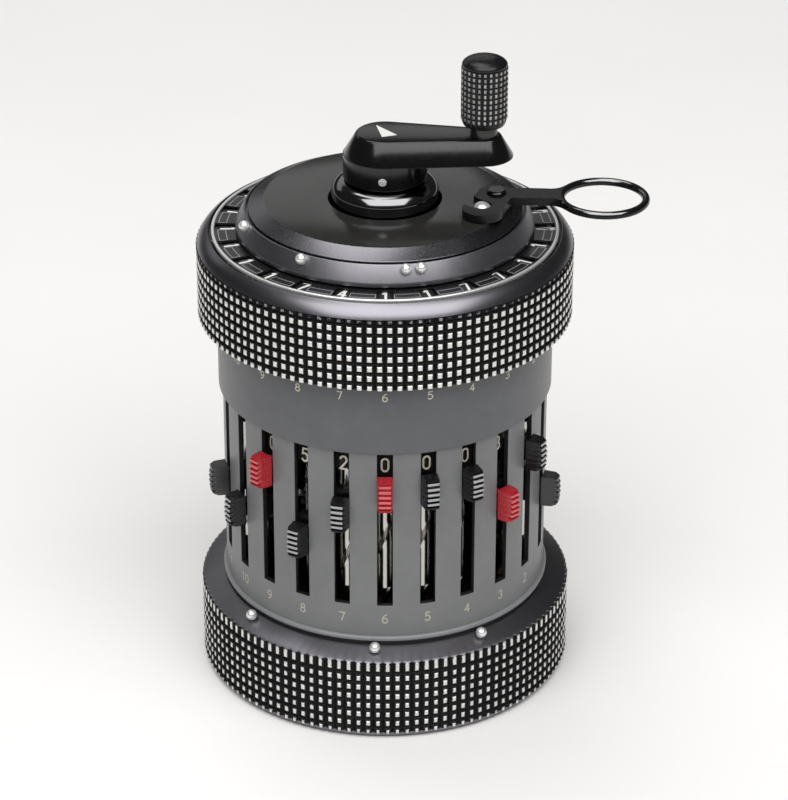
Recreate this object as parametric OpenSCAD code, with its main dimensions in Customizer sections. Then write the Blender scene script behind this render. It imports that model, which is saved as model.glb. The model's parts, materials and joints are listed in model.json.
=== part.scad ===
// Cylindrical pocket calculator worked by a crank.
// The origin is the centre of the flat underside, +Z is up and the front faces -Y.
// Around the axis every decimal place takes one pitch, counted from the front towards +X.

/* [Base] */
// Width of the sloping ring around the tube, from the tube's face to the knurl
base_step = 4.6; // [3.8:0.1:6]
// Height of the knurled band of the base
base_band_h = 15.2; // [13:0.1:18]
// Height of the sloping ring above the band
base_slope_h = 1.4; // [1:0.1:2.2]
// Chamfer round the underside
base_edge = 0.7; // [0.3:0.1:1.5]
// Thickness of the flat bottom cover
cover_t = 2.2; // [1.6:0.1:3]
// Radius of the bottom screws
base_screw_r = 1.0; // [0.7:0.1:1.3]

/* [Housing] */
// Outside radius of the slotted tube
tube_r = 28.5; // [28:0.1:31]
// Wall of the slotted tube
tube_wall = 1.0; // [0.7:0.05:1.4]
// Height of the bright flange at the tube's foot
foot_h = 1.4; // [0.8:0.1:2]
// How far the flange stands out from the tube
foot_step = 0.55; // [0.3:0.05:1]
// Width of the slots for the setting slides
slot_w = 2.7; // [2.2:0.1:3]
// How far the slots stop below the top of the tube
slot_top_gap = 0.6; // [0.4:0.1:1.5]
// How far the collar stands out from the tube
collar_step = 0.7; // [0.4:0.1:1.5]
// Height of the smooth collar
collar_h = 20.6; // [19.5:0.1:24]
// Wall of the collar above its bearing plate
collar_wall = 1.2; // [0.8:0.1:1.8]

/* [Setting slides] */
// Height of one digit step
digit_step = 2.2; // [2:0.05:2.4]
// Height of a finger button
button_h = 5.7; // [5:0.1:6.5]
// How far a finger button's middle lies below the middle of its block
button_drop = 0.8; // [0.2:0.1:1]
// Width of a finger button
button_w = 2.85; // [2.4:0.05:3.4]
// How far a finger button stands out from the tube
button_out = 3.4; // [2.5:0.1:4.5]
// Number of ridges on a finger button
button_ridges = 5; // [3:1:7]
// Height of the block inside the tube
block_h = 5.0; // [4:0.1:5.4]
// Radius of the setting shafts
shaft_r = 1.5; // [1.3:0.05:1.8]
// Radius of the figure drums on the setting shafts
figure_r = 2.8; // [2.4:0.05:2.95]
// Height of the figure drums
figure_h = 3.3; // [2.8:0.1:3.5]

/* [Calculating train] */
// Distance between the ring of setting shafts and the ring of transmission shafts
ring_spacing = 6.15; // [5.9:0.05:6.6]
// Wall of the small gears between their bore and the foot of their teeth
gear_wall = 0.48; // [0.4:0.02:0.7]
// Thickness of the setting gears
gear_t = 1.2; // [0.9:0.1:1.5]
// Height of the step drum's teeth
drum_tooth_h = 1.5; // [1:0.1:2]
// Space between the lower bearing plate and the step drum
drum_gap = 2.2; // [1.5:0.1:6]
// Radius of the main shaft
main_r = 2.6; // [2:0.1:3]
// Thickness of the bearing plates
plate_t = 2.2; // [1.6:0.1:2.6]

/* [Carriage] */
// Wall of the knurled carriage shell at its widest
carriage_wall = 3.0; // [2.5:0.1:4]
// Height of the knurled band of the carriage
band_h = 13.6; // [13:0.1:14.5]
// How far the shell hangs down over the collar
skirt_h = 7.5; // [6.2:0.1:9]
// Height of the rounded rim above the knurled band
rim_h = 2.1; // [1.2:0.1:3]
// Radius of the number dials
dial_r = 2.6; // [2.2:0.05:2.7]
// How far the carriage lifts before it turns
carriage_lift = 5.0; // [4:0.1:5.2]
// Wall of the guide tube
guide_wall = 2.35; // [2:0.05:2.6]

/* [Cover and clearing lever] */
// Width of the cover's sloping edge
cover_slope = 2.7; // [2:0.1:3.4]
// Height of the cover above the decimal ring
cover_plate_h = 1.9; // [1.5:0.1:2.4]
// Thickness of the clearing lever
lever_t = 1.4; // [1.2:0.1:2.2]
// Distance from the lever's pivot to the middle of its finger loop
lever_reach = 18.2; // [17:0.1:21]
// Radius of the middle of the finger loop's bar
loop_r = 7.2; // [6:0.05:8]

/* [Crank] */
// Radius of the fixed collar under the crank
hub_collar_r = 9.4; // [8.6:0.1:10]
// Radius of the crank's hub
crank_hub_r = 7.2; // [6.2:0.1:8]
// Height of the crank's hub under the arm
crank_hub_h = 4.2; // [3.8:0.1:6]
// Distance from the axis to the crank knob
crank_throw = 16.7; // [15:0.1:20]
// Thickness of the crank arm
crank_arm_h = 3.9; // [3:0.1:5]
// Radius of the crank knob
knob_r = 3.95; // [3.2:0.05:5]
// Length of the crank knob
knob_h = 12.1; // [10:0.1:18]
// How far the crank pulls up for subtraction, three rows of the step drum
crank_pull = 3.3; // [3:0.1:3.4]

/* [Decimal beads] */
// Radius of the sliding decimal beads
bead_r = 0.8; // [0.6:0.05:0.95]

/* [Hidden] */

$fn = 96;
small_fn = 32;

// Decimal places round the axis: 15 result places, 8 counter places and one gap
places = 24;
result_places = 15;
counter_places = 8;
pitch = 360 / places;
slider_count = 11;
middle_slider = 6;
first_az = (middle_slider - 1) * pitch;
// Places in use, from the last counter place to the last result place
place_numbers = [-counter_places : result_places - 1];
// Digit that each setting slide stands at, from slider 1 at the right
settings = [5, 0, 3, 0, 0, 0, 2, 5, 0, 5, 4];
// Colour of each finger button, red where a group of three digits begins
button_colours = ["dimgray", "black", "red", "black", "black", "red",
    "black", "black", "red", "black", "dimgray"];

// Clearances
running = 0.05;
seat = 0.3;
snug = 0.02;
side_gap = 0.2;

// Base levels
ledge_h = 5.8;
ledge_wall = 2.5;
ledge_z = cover_t + ledge_h;
base_r = tube_r + base_step;
base_top_z = base_band_h + base_slope_h;
foot_r = tube_r + foot_step;
foot_top_z = base_top_z + foot_h;
cover_rim = 2.7;
cover_r = base_r - cover_rim;
screw_ring_r = tube_r - ledge_wall / 2 + 0.9;
base_screw_len = 6;
screw_head_r = 1.9 * base_screw_r;

// Lower bearing plate
tube_in_r = tube_r - tube_wall;
plate_ledge = 1.5;
lower_plate_z = foot_top_z + 1;
lower_plate_top = lower_plate_z + plate_t;

// Levels of the slides and figure drums, counted up from the lower bearing plate
last_digit = 9;
row_shift = crank_pull;
drum_end = 1;
drum_low_z = lower_plate_top + drum_gap;
slide_top_z = drum_low_z + drum_end + row_shift + last_digit * digit_step;
slide_low_z = slide_top_z - last_digit * digit_step;
figure_gap_z = 0.6;
figure_z = slide_top_z + block_h / 2 + figure_gap_z;
web_z = figure_z + figure_h + seat;
tube_top_z = web_z;

// Housing levels above the slides
collar_r = tube_r + collar_step;
collar_in_r = collar_r - collar_wall;
collar_top_z = tube_top_z + collar_h;
collar_ledge = 0.8;
web_t = 2.4;
web_top_z = web_z + web_t;
slot_high_z = tube_top_z - slot_top_gap;
slot_end = 1.1;
slot_low_z = slide_low_z - block_h / 2 - slot_end;

// Setting shafts
figure_gap = 0.35;
setting_ring_r = tube_in_r - figure_gap - figure_r;
shaft_low_z = lower_plate_top + seat;
journal_r = 0.9;
journal_in = 1.7;
groove_rate = 36 / digit_step;
groove_w = 0.9;
groove_floor_r = shaft_r / 2;
groove_end = 1.6;
groove_low_z = slide_low_z - groove_end;
groove_high_z = slide_top_z + groove_end;
groove_sides = 14;
groove_slices = 28;
shaft_bore_gap = 0.08;
groove_pin_r = 0.28;

// Transmission shafts
trans_ring_r = setting_ring_r - ring_spacing;
gear_gap = 0.15;
gear_r = trans_ring_r * sin(pitch / 2) - gear_gap;
gear_teeth = 10;
gear_module = 2 * gear_r / (gear_teeth + 2);
gear_tooth_h = 2 * gear_module;
trans_r = gear_r - gear_tooth_h - gear_wall;
trans_low_z = lower_plate_z + 0.5;
mesh_gap = 0.3;
drum_tip_r = trans_ring_r - gear_r - mesh_gap;
drum_body_r = drum_tip_r - drum_tooth_h;
row_h = 0.9;
drum_top_z = slide_top_z + 1.5;
drum_tooth_w = 1.1;
drum_tooth_deg = 9;

// Upper bearing plate, guide tube and tens bell
upper_plate_top = collar_top_z - 2.4;
upper_plate_z = upper_plate_top - plate_t;
guide_r = main_r + running + guide_wall;
guide_flange_r = guide_r + 3;
guide_flange_t = 1.6;
guide_low_z = upper_plate_z - guide_flange_t;
bell_low_z = web_top_z + seat;
bell_top_z = guide_low_z - 1;
bell_bore_r = main_r + running;
carry_z = bell_top_z - 3.4;
carry_t = 1.5;

// Carriage levels
carriage_in_r = collar_r + seat;
carriage_r = carriage_in_r + carriage_wall;
carriage_low_z = collar_top_z - skirt_h;
band_top_z = carriage_low_z + band_h;
rim_top_z = band_top_z + rim_h;
rim_in_r = carriage_r - 2.2;
shell_seat = 0.4;
shell_in_r = carriage_in_r + shell_seat;
core_z = collar_top_z + seat;
core_flange_t = 1.2;
core_wall_in_r = trans_ring_r + gear_r + 1.75;
core_wall_out_r = core_wall_in_r + 2.2;
window_t = 0.5;
window_top_z = rim_top_z + 0.2;
window_z = window_top_z - window_t;
window_lap_r = core_wall_out_r + 1.2;
window_deg = 5.7;
window_low_r = window_lap_r + 0.45;
window_high_r = shell_in_r - 0.8;
dial_z = window_z - seat - dial_r;
dial_low_r = core_wall_out_r + 0.9;
dial_high_r = shell_in_r - 0.6;
dial_shaft_r = 0.9;
dial_gear_r = 1.9;
dial_gear_t = 1.7;
dial_gear_low_r = core_wall_in_r - 0.4 - dial_gear_t;
dial_pin_r = 0.5;
dial_pin_in = 1.8;
pinion_top_z = dial_z - dial_gear_r - 0.35;
pinion_h = min(2.2, pinion_top_z - upper_plate_top - seat);
rib_z = dial_z - dial_gear_r + 0.1;
rib_t = 2.4;
gear_slot_w = 2 * dial_gear_r + 0.6;

// Sleeve that carries the carriage, and its spring
sleeve_r = guide_r + 3;
sleeve_in_r = sleeve_r - 1.1;
sleeve_z = upper_plate_top + seat;
sleeve_floor_t = 1.5;
core_hub_top = rib_z + rib_t;
core_hub_low = rib_z - 1.5;
core_hub_r = sleeve_r + running + 2.45;
sleeve_flange_t = 1.0;
sleeve_flange_r = sleeve_r + 1.4;
sleeve_top_z = core_hub_top + 0.15 + sleeve_flange_t;
key_w = 1.2;
key_out = 0.9;
key_gap = 0.1;
spring_wire_r = 0.3;
spring_r = sleeve_in_r - 0.2 - spring_wire_r;
spring_turns = 5;
spring_sides = 8;
spring_steps = 24;

// Decimal ring, cover plate and clearing rack
bevel_low_z = window_top_z + 0.8;
bevel_top_z = bevel_low_z + 2.1;
bevel_top_r = window_lap_r - 1.7;
plate_z = bevel_top_z + seat;
cover_top_z = plate_z + cover_plate_h;
plate_out_r = bevel_top_r - 0.4;
cover_top_r = plate_out_r - cover_slope;
plate_edge_h = 0.6;
plate_bore_r = hub_collar_r + seat;
rack_out_r = core_wall_in_r - seat;
rack_w = 2.4;
rack_in_r = rack_out_r - rack_w;
rack_low_z = dial_z + dial_gear_r + seat;
rack_tooth_h = 0.5;
rack_teeth = 10;

// Fixed collar under the crank
hub_collar_low = sleeve_top_z + carriage_lift + 0.4;
hub_collar_h = 3.6;
hub_collar_top = cover_top_z + hub_collar_h;
hub_neck_h = 1.5;
hub_neck_r = sleeve_in_r - 0.3;
spring_low_z = sleeve_z + sleeve_floor_t + spring_wire_r;
spring_top_z = hub_collar_low - hub_neck_h - spring_wire_r;

// Clearing lever
lever_gap = 0.15;
lever_z = cover_top_z + lever_gap;
lever_top_z = lever_z + lever_t;
pivot_x = cover_top_r - 1.8;
pivot_y = -1.5;
lever_turn = -3.2;
pivot_boss_r = 3.1;
pivot_screw_r = 0.9;
pivot_head_r = 1.75;
pivot_head_h = 0.4;
// Stop stud, counted from the pivot, and the tail that hooks round it
stud_offset = [-2.6, -5.2];
stud_r = 1.35;
notch_r = stud_r + seat;
notch_deg = 70;
tail_offset = [-2.5, -6.5];
tail_r = 3.5;
loop_bar_r = lever_t / 2 - snug;
handle_w = 4.2;
handle_fillet_r = 3;

// Crank
arm_turn = -3.4;
crank_hub_z = hub_collar_top + seat;
arm_z = crank_hub_z + crank_hub_h;
arm_top_z = arm_z + crank_arm_h;
crank_bore_in = 1.0;
main_top_z = arm_top_z - crank_bore_in;
main_low_z = lower_plate_z - 10;
crank_pin_r = 0.7;
crank_pin_z = crank_hub_z + crank_hub_h / 2 - 0.2;
knob_neck_h = 1.5;
knob_neck_r = 2.3;
knob_stud_r = 1.5;
knob_z = arm_top_z + knob_neck_h + seat;
knob_top_z = knob_z + knob_h;
knob_bore_top = knob_top_z - 3.6;
dome_h = 1.8;

// Decimal beads: place round the axis in degrees
base_bead_az = [-50, -3.3, 33.2];
carriage_bead_az = [-72.6, -33.8, 8, 13.9];
bead_stem_r = 0.45;
bead_groove_w = 2 * bead_stem_r + side_gap;
bead_groove_depth = 1.6;
bead_gap = 0.04;
base_bead_r = tube_r + 2.1;
base_slope = base_slope_h / (base_r - foot_r);
base_bead_slope_z = base_band_h + (base_r - base_bead_r) * base_slope;
carriage_bead_r = window_lap_r - 1;
carriage_slope = (bevel_top_z - bevel_low_z) / (window_lap_r - bevel_top_r);
carriage_bead_slope_z = bevel_low_z + (window_lap_r - carriage_bead_r) * carriage_slope;

// Reversing lever at the back
reverse_az = 180;
reverse_w = 2.6;
reverse_h = 4.2;
reverse_neck_h = reverse_h - 2;
reverse_travel = 4;
reverse_z = slide_top_z - 4;
reverse_slot_margin = 1;

// Puts a child at an azimuth and radius, with -Y of the child pointing outwards
module place(az, r) {
    rotate([0, 0, az]) translate([0, -r, 0]) children();
}

// A round bar along the radius, from radius r1 to radius r2 at height z
module radial_bar(r1, r2, z, r) {
    translate([0, -r1, z]) rotate([90, 0, 0]) cylinder(r = r, h = r2 - r1, $fn = small_fn);
}

// Outline of a gear with straight-sided teeth
module gear_outline(tip_r, teeth, tooth_h) {
    root_r = tip_r - tooth_h;
    tooth_deg = 360 / teeth;
    polygon([for (i = [0 : teeth - 1], p = [[0, 0], [0.22, 1], [0.48, 1], [0.7, 0]])
        (root_r + p[1] * tooth_h) * [cos((i + p[0]) * tooth_deg), sin((i + p[0]) * tooth_deg)]]);
}

// Knurled base ring with the sloping shoulder that the beads run on
module base_ring() {
    color("dimgray") difference() {
        rotate_extrude() difference() {
            polygon([
                [cover_r + side_gap / 2, 0], [base_r - base_edge, 0], [base_r, base_edge],
                [base_r, base_band_h], [foot_r, base_top_z], [tube_r + snug, base_top_z],
                [tube_r + snug, ledge_z], [tube_r - ledge_wall, ledge_z],
                [tube_r - ledge_wall, cover_t], [cover_r + side_gap / 2, cover_t]]);
            translate([base_bead_r - bead_groove_w / 2, base_bead_slope_z - bead_groove_depth])
                square([bead_groove_w, bead_groove_depth + base_slope_h]);
        }
        for (i = [0 : 2]) place(i * 120 + 60, screw_ring_r)
            translate([0, 0, cover_t - 0.1])
                cylinder(r = base_screw_r + snug, h = base_screw_len - cover_t + 0.4, $fn = small_fn);
    }
}

// Flat bottom cover with three countersunk holes
module base_cover() {
    color("black") difference() {
        cylinder(r = cover_r, h = cover_t);
        for (i = [0 : 2]) place(i * 120 + 60, screw_ring_r) {
            translate([0, 0, -0.1])
                cylinder(r = base_screw_r + side_gap / 2, h = cover_t + 0.2, $fn = small_fn);
            translate([0, 0, -0.01])
                cylinder(r1 = screw_head_r + side_gap, r2 = base_screw_r + side_gap, h = base_screw_r,
                    $fn = small_fn);
        }
    }
}

// Three countersunk screws with a cross slot each
module base_screws() {
    color("silver") for (i = [0 : 2]) place(i * 120 + 60, screw_ring_r) difference() {
        union() {
            translate([0, 0, 0.1])
                cylinder(r1 = screw_head_r, r2 = base_screw_r, h = base_screw_r, $fn = small_fn);
            translate([0, 0, 0.1]) cylinder(r = base_screw_r, h = base_screw_len, $fn = small_fn);
        }
        translate([-screw_head_r, -0.2, 0]) cube([2 * screw_head_r, 0.4, 0.5]);
    }
}

// Slotted tube with a bright flange at its foot
module housing_tube() {
    reverse_slot_low = reverse_z - reverse_travel - (reverse_neck_h + reverse_slot_margin) / 2;
    reverse_slot_h = reverse_neck_h + reverse_travel + reverse_slot_margin;
    color("slategray") difference() {
        rotate_extrude() polygon([
            [tube_r - ledge_wall, ledge_z], [tube_r, ledge_z], [tube_r, base_top_z],
            [foot_r, base_top_z], [foot_r, foot_top_z], [tube_r, foot_top_z],
            [tube_r, tube_top_z], [tube_in_r, tube_top_z], [tube_in_r, lower_plate_z],
            [tube_in_r - plate_ledge, lower_plate_z]]);
        for (i = [1 : slider_count]) place(first_az - (i - 1) * pitch, tube_r)
            translate([-slot_w / 2, -1, slot_low_z])
                cube([slot_w, tube_wall + 2, slot_high_z - slot_low_z]);
        place(reverse_az, tube_r)
            translate([-slot_w / 2, -1, reverse_slot_low])
                cube([slot_w, tube_wall + 2, reverse_slot_h]);
    }
}

// Smooth collar with a web that carries the upper ends of the setting shafts
module upper_collar() {
    web_hole_r = 8;
    color("slategray") difference() {
        rotate_extrude() polygon([
            [web_hole_r, web_z], [collar_r, web_z], [collar_r, collar_top_z],
            [collar_in_r, collar_top_z], [collar_in_r, upper_plate_z],
            [collar_in_r - collar_ledge, upper_plate_z], [collar_in_r - collar_ledge, web_top_z],
            [web_hole_r, web_top_z]]);
        for (i = [1 : slider_count]) place(first_az - (i - 1) * pitch, setting_ring_r)
            translate([0, 0, web_z - 1])
                cylinder(r = journal_r + running, h = web_t + 2, $fn = small_fn);
        for (i = place_numbers) place(first_az - i * pitch, trans_ring_r)
            translate([0, 0, web_z - 1])
                cylinder(r = trans_r + running, h = web_t + 2, $fn = small_fn);
    }
}

// Plate and hub that carry the lower ends of all the shafts
module lower_bearing_plate() {
    hub_h = 7;
    color("goldenrod") difference() {
        union() {
            translate([0, 0, lower_plate_z]) cylinder(r = tube_in_r - snug, h = plate_t);
            translate([0, 0, lower_plate_z - hub_h]) cylinder(r = main_r + 3.4, h = hub_h + 0.1);
        }
        translate([0, 0, lower_plate_z - hub_h - 1])
            cylinder(r = main_r + running, h = hub_h + plate_t + 2);
        for (i = [1 : slider_count]) place(first_az - (i - 1) * pitch, setting_ring_r)
            translate([0, 0, lower_plate_z - 1])
                cylinder(r = journal_r + running, h = plate_t + 2, $fn = small_fn);
        for (i = place_numbers) place(first_az - i * pitch, trans_ring_r)
            translate([0, 0, lower_plate_z - 1])
                cylinder(r = trans_r + running, h = plate_t + 2, $fn = small_fn);
    }
}

// Plate that closes the collar and holds the guide tube
module upper_bearing_plate() {
    color("goldenrod") difference() {
        translate([0, 0, upper_plate_z]) cylinder(r = collar_in_r - snug, h = plate_t);
        translate([0, 0, upper_plate_z - 1]) cylinder(r = guide_r + snug, h = plate_t + 2);
        for (i = place_numbers) place(first_az - i * pitch, trans_ring_r)
            translate([0, 0, upper_plate_z - 1])
                cylinder(r = trans_r + running, h = plate_t + 2, $fn = small_fn);
    }
}

// Fixed tube that the carriage sleeve slides on, with a key that stops the sleeve turning
module guide_tube() {
    key_top = sleeve_z + sleeve_floor_t + carriage_lift - 0.2;
    color("silver") difference() {
        union() {
            translate([0, 0, guide_low_z]) cylinder(r = guide_r, h = hub_collar_top - 0.5 - guide_low_z);
            translate([0, 0, guide_low_z]) cylinder(r = guide_flange_r, h = guide_flange_t);
            translate([-key_w / 2, guide_r - 0.4, upper_plate_top])
                cube([key_w, key_out + 0.4, key_top - upper_plate_top]);
        }
        translate([0, 0, guide_low_z - 1])
            cylinder(r = main_r + running, h = hub_collar_top - guide_low_z + 2);
    }
}

// Rounded collar fixed to the guide tube under the crank
module hub_collar() {
    flare = hub_collar_r - crank_hub_r;
    round_h = hub_collar_top - cover_top_z - 1.4;
    color("black") rotate_extrude() polygon(concat(
        [[guide_r + snug, hub_collar_low - hub_neck_h], [hub_neck_r, hub_collar_low - hub_neck_h],
            [hub_neck_r, hub_collar_low], [hub_collar_r, hub_collar_low]],
        [for (t = [0 : 15 : 90])
            [crank_hub_r + flare * cos(t), hub_collar_top - round_h + round_h * sin(t)]],
        [[guide_r + snug, hub_collar_top]]));
}

// Transmission shafts, one for each place, each with a pinion at its top
module transmission_shafts() {
    color("silver") for (i = place_numbers)
        place(first_az - i * pitch, trans_ring_r) {
            translate([0, 0, trans_low_z])
                cylinder(r = trans_r, h = pinion_top_z - trans_low_z, $fn = small_fn);
            translate([0, 0, pinion_top_z - pinion_h])
                linear_extrude(pinion_h) gear_outline(gear_r, gear_teeth, gear_tooth_h);
        }
}

// Carry gears pressed on the transmission shafts beside the tens bell
module carry_gears() {
    color("goldenrod") for (i = place_numbers)
        place(first_az - i * pitch, trans_ring_r)
            translate([0, 0, carry_z]) linear_extrude(carry_t) difference() {
                gear_outline(gear_r, gear_teeth, gear_tooth_h);
                circle(r = trans_r + snug, $fn = small_fn);
            }
}

// Lever at the back that reverses the counter
module reversing_lever() {
    neck_w = slot_w - 2 * side_gap;
    color("black") place(reverse_az, 0) {
        translate([-reverse_w / 2, -tube_r - 2.6, reverse_z - reverse_h / 2])
            cube([reverse_w, 2.6 - seat, reverse_h]);
        translate([-neck_w / 2, -tube_r - seat - 0.1, reverse_z - reverse_neck_h / 2])
            cube([neck_w, tube_wall + 2 * seat + 0.2, reverse_neck_h]);
        translate([-reverse_w, -tube_in_r + seat, reverse_z - reverse_h / 2])
            cube([2 * reverse_w, 1.2, reverse_h]);
    }
}

// Bell that turns with the crank and carries the tens
module tens_bell() {
    rim_z = carry_z - 0.4;
    color("silver") difference() {
        union() {
            rotate_extrude() polygon([
                [0, bell_low_z], [drum_body_r - 3, bell_low_z], [drum_body_r, bell_low_z + 2.5],
                [drum_body_r, bell_top_z], [0, bell_top_z]]);
            translate([0, 0, rim_z]) linear_extrude(2) drum_row_outline(6);
        }
        translate([0, 0, bell_low_z - 1]) cylinder(r = bell_bore_r, h = bell_top_z - bell_low_z + 2);
    }
}

// Main shaft, joined to the crank by a cross pin
module main_shaft() {
    color("silver") difference() {
        translate([0, 0, main_low_z]) cylinder(r = main_r, h = main_top_z - main_low_z);
        translate([0, 0, crank_pin_z]) rotate([90, 0, arm_turn])
            cylinder(r = crank_pin_r + snug, h = 4 * main_r, center = true, $fn = small_fn);
    }
}

// Outline of one row of the step drum with a number of teeth
module drum_row_outline(teeth) {
    circle(r = drum_body_r);
    for (i = [0 : 1 : teeth - 1]) rotate(i * drum_tooth_deg + 100)
        translate([drum_body_r - 0.5, -drum_tooth_w / 2])
            square([drum_tooth_h + 0.5 - 0.05, drum_tooth_w]);
}

// Step drum: a row of d teeth and a row of 9 - d teeth for every digit d
module step_drum() {
    color("lightgray") difference() {
        union() {
            translate([0, 0, drum_low_z]) cylinder(r = drum_body_r, h = drum_top_z - drum_low_z);
            for (d = [1 : 9]) translate([0, 0, slide_top_z - d * digit_step - row_h / 2])
                linear_extrude(row_h) drum_row_outline(d);
            for (d = [0 : 8])
                translate([0, 0, slide_top_z - d * digit_step - row_shift - row_h / 2])
                    linear_extrude(row_h) drum_row_outline(9 - d);
        }
        translate([0, 0, drum_low_z - 1]) cylinder(r = main_r + snug, h = drum_top_z - drum_low_z + 2);
    }
}

// Crank arm with its hub, bored for the main shaft and the knob's stud
module crank_arm() {
    end_fn = 32;
    color("black") difference() {
        union() {
            translate([0, 0, crank_hub_z]) cylinder(r = crank_hub_r, h = crank_hub_h + 0.2);
            rotate([0, 0, arm_turn]) hull() {
                translate([0, 0, arm_z])
                    cylinder(r1 = crank_hub_r, r2 = crank_hub_r - 2.3, h = crank_arm_h, $fn = end_fn);
                translate([crank_throw, 0, arm_z])
                    cylinder(r1 = 5.2, r2 = 2.9, h = crank_arm_h, $fn = end_fn);
            }
        }
        translate([0, 0, crank_hub_z - 1])
            cylinder(r = main_r + snug, h = main_top_z + snug - crank_hub_z + 1);
        translate([0, 0, crank_pin_z]) rotate([90, 0, arm_turn])
            cylinder(r = crank_pin_r + snug, h = 3 * crank_hub_r, center = true, $fn = small_fn);
        rotate([0, 0, arm_turn]) translate([crank_throw, 0, arm_z + 0.8])
            cylinder(r = knob_stud_r + snug, h = crank_arm_h, $fn = small_fn);
    }
}

// Taper pin through the crank's hub and the main shaft
module crank_pin() {
    color("silver") translate([0, 0, crank_pin_z]) rotate([90, 0, arm_turn])
        cylinder(r = crank_pin_r, h = 2 * crank_hub_r + 0.3, center = true, $fn = small_fn);
}

// Stud with a shoulder that the knob turns on
module knob_stud() {
    color("black") rotate([0, 0, arm_turn]) translate([crank_throw, 0, 0]) {
        translate([0, 0, arm_z + 0.8 + snug])
            cylinder(r = knob_stud_r, h = knob_bore_top - seat - arm_z - 0.8, $fn = small_fn);
        translate([0, 0, arm_top_z]) cylinder(r = knob_neck_r, h = knob_neck_h, $fn = small_fn);
    }
}

// Crank knob with rounded ends
module crank_knob() {
    color("black") rotate([0, 0, arm_turn]) translate([crank_throw, 0, 0]) rotate_extrude($fn = 64)
        polygon(concat(
            [[knob_stud_r + running, knob_z], [knob_r - 0.9, knob_z], [knob_r, knob_z + 0.9],
                [knob_r, knob_top_z - dome_h - 0.4]],
            [for (t = [0 : 15 : 90])
                [(knob_r - 0.5) * cos(t), knob_top_z - dome_h + dome_h * sin(t)]],
            [[0, knob_bore_top], [knob_stud_r + running, knob_bore_top]]));
}

// Keyed sleeve that lifts the carriage
module carriage_sleeve() {
    color("silver") difference() {
        rotate_extrude() polygon([
            [guide_r + running, sleeve_z], [sleeve_r, sleeve_z],
            [sleeve_r, sleeve_top_z - sleeve_flange_t],
            [sleeve_flange_r, sleeve_top_z - sleeve_flange_t], [sleeve_flange_r, sleeve_top_z],
            [sleeve_in_r, sleeve_top_z], [sleeve_in_r, sleeve_z + sleeve_floor_t],
            [guide_r + running, sleeve_z + sleeve_floor_t]]);
        translate([-key_w / 2 - key_gap, guide_r - 0.5, sleeve_z - 1])
            cube([key_w + 2 * key_gap, key_out + key_gap + 0.5, sleeve_floor_t + 2]);
    }
}

// Point of the spring's wire, at ring k and side s
function spring_point(k, s) = let (
    turn = k * 360 / spring_steps,
    rise = (spring_top_z - spring_low_z) * k / (spring_turns * spring_steps),
    side = s * 360 / spring_sides,
    r = spring_r + spring_wire_r * cos(side)
) [r * cos(turn), r * sin(turn), spring_low_z + rise + spring_wire_r * sin(side)];

// Coil spring that holds the carriage down
module carriage_spring() {
    rings = spring_turns * spring_steps;
    color("silver") polyhedron(
        points = [for (k = [0 : rings], s = [0 : spring_sides - 1]) spring_point(k, s)],
        faces = concat(
            [[for (s = [0 : spring_sides - 1]) s]],
            [for (k = [0 : rings - 1], s = [0 : spring_sides - 1])
                let (a = k * spring_sides, b = a + spring_sides, n = (s + 1) % spring_sides)
                    [a + s, b + s, b + n, a + n]],
            [[for (s = [spring_sides - 1 : -1 : 0]) rings * spring_sides + s]]));
}

// Knurled carriage shell with its rounded rim
module carriage_body() {
    color("dimgray") difference() {
        rotate_extrude() polygon(concat(
            [[carriage_in_r, carriage_low_z], [carriage_r - 0.4, carriage_low_z],
                [carriage_r, carriage_low_z + 0.4]],
            [for (t = [0 : 15 : 90])
                [rim_in_r + (carriage_r - rim_in_r) * cos(t), band_top_z + rim_h * sin(t)]],
            [[shell_in_r, rim_top_z], [shell_in_r, core_z], [carriage_in_r, core_z]]));
        for (i = place_numbers) rotate([0, 0, first_az - i * pitch])
            radial_bar(shell_in_r - 1, shell_in_r + dial_pin_in, dial_z, dial_pin_r + snug);
    }
}

// Inner casting: hub, ribs between the dial gears, dial wall and decimal ring
module carriage_core() {
    color("black") difference() {
        rotate_extrude() difference() {
            polygon([
                [sleeve_r + running, core_hub_low], [core_hub_r, core_hub_low], [core_hub_r, rib_z],
                [core_wall_in_r, rib_z], [core_wall_in_r, core_z], [shell_in_r - snug, core_z],
                [shell_in_r - snug, core_z + core_flange_t],
                [core_wall_out_r, core_z + core_flange_t], [core_wall_out_r, window_top_z],
                [window_lap_r, window_top_z], [window_lap_r, bevel_low_z],
                [bevel_top_r, bevel_top_z], [core_wall_in_r, bevel_top_z],
                [core_wall_in_r, core_hub_top], [sleeve_r + running, core_hub_top]]);
            translate([carriage_bead_r - bead_groove_w / 2, carriage_bead_slope_z - bead_groove_depth + 0.5])
                square([bead_groove_w, bead_groove_depth + 1]);
        }
        for (i = place_numbers) rotate([0, 0, first_az - i * pitch]) {
            radial_bar(core_wall_in_r - 1, core_wall_out_r + 0.4, dial_z, dial_shaft_r + running);
            translate([-gear_slot_w / 2, -core_wall_in_r, rib_z - 0.1])
                cube([gear_slot_w, dial_gear_t + 0.8, rib_t + 0.2]);
        }
    }
}

// Thin ring with a window over every dial
module window_ring() {
    color("black") difference() {
        translate([0, 0, window_z]) rotate_extrude() polygon([
            [core_wall_out_r + snug, 0], [shell_in_r - snug, 0], [shell_in_r - snug, window_t],
            [core_wall_out_r + snug, window_t]]);
        for (i = place_numbers)
            rotate([0, 0, first_az - i * pitch - window_deg / 2 - 90])
                translate([0, 0, window_z - 1]) rotate_extrude(angle = window_deg)
                    translate([window_low_r, 0]) square([window_high_r - window_low_r, window_t + 2]);
    }
}

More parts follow.
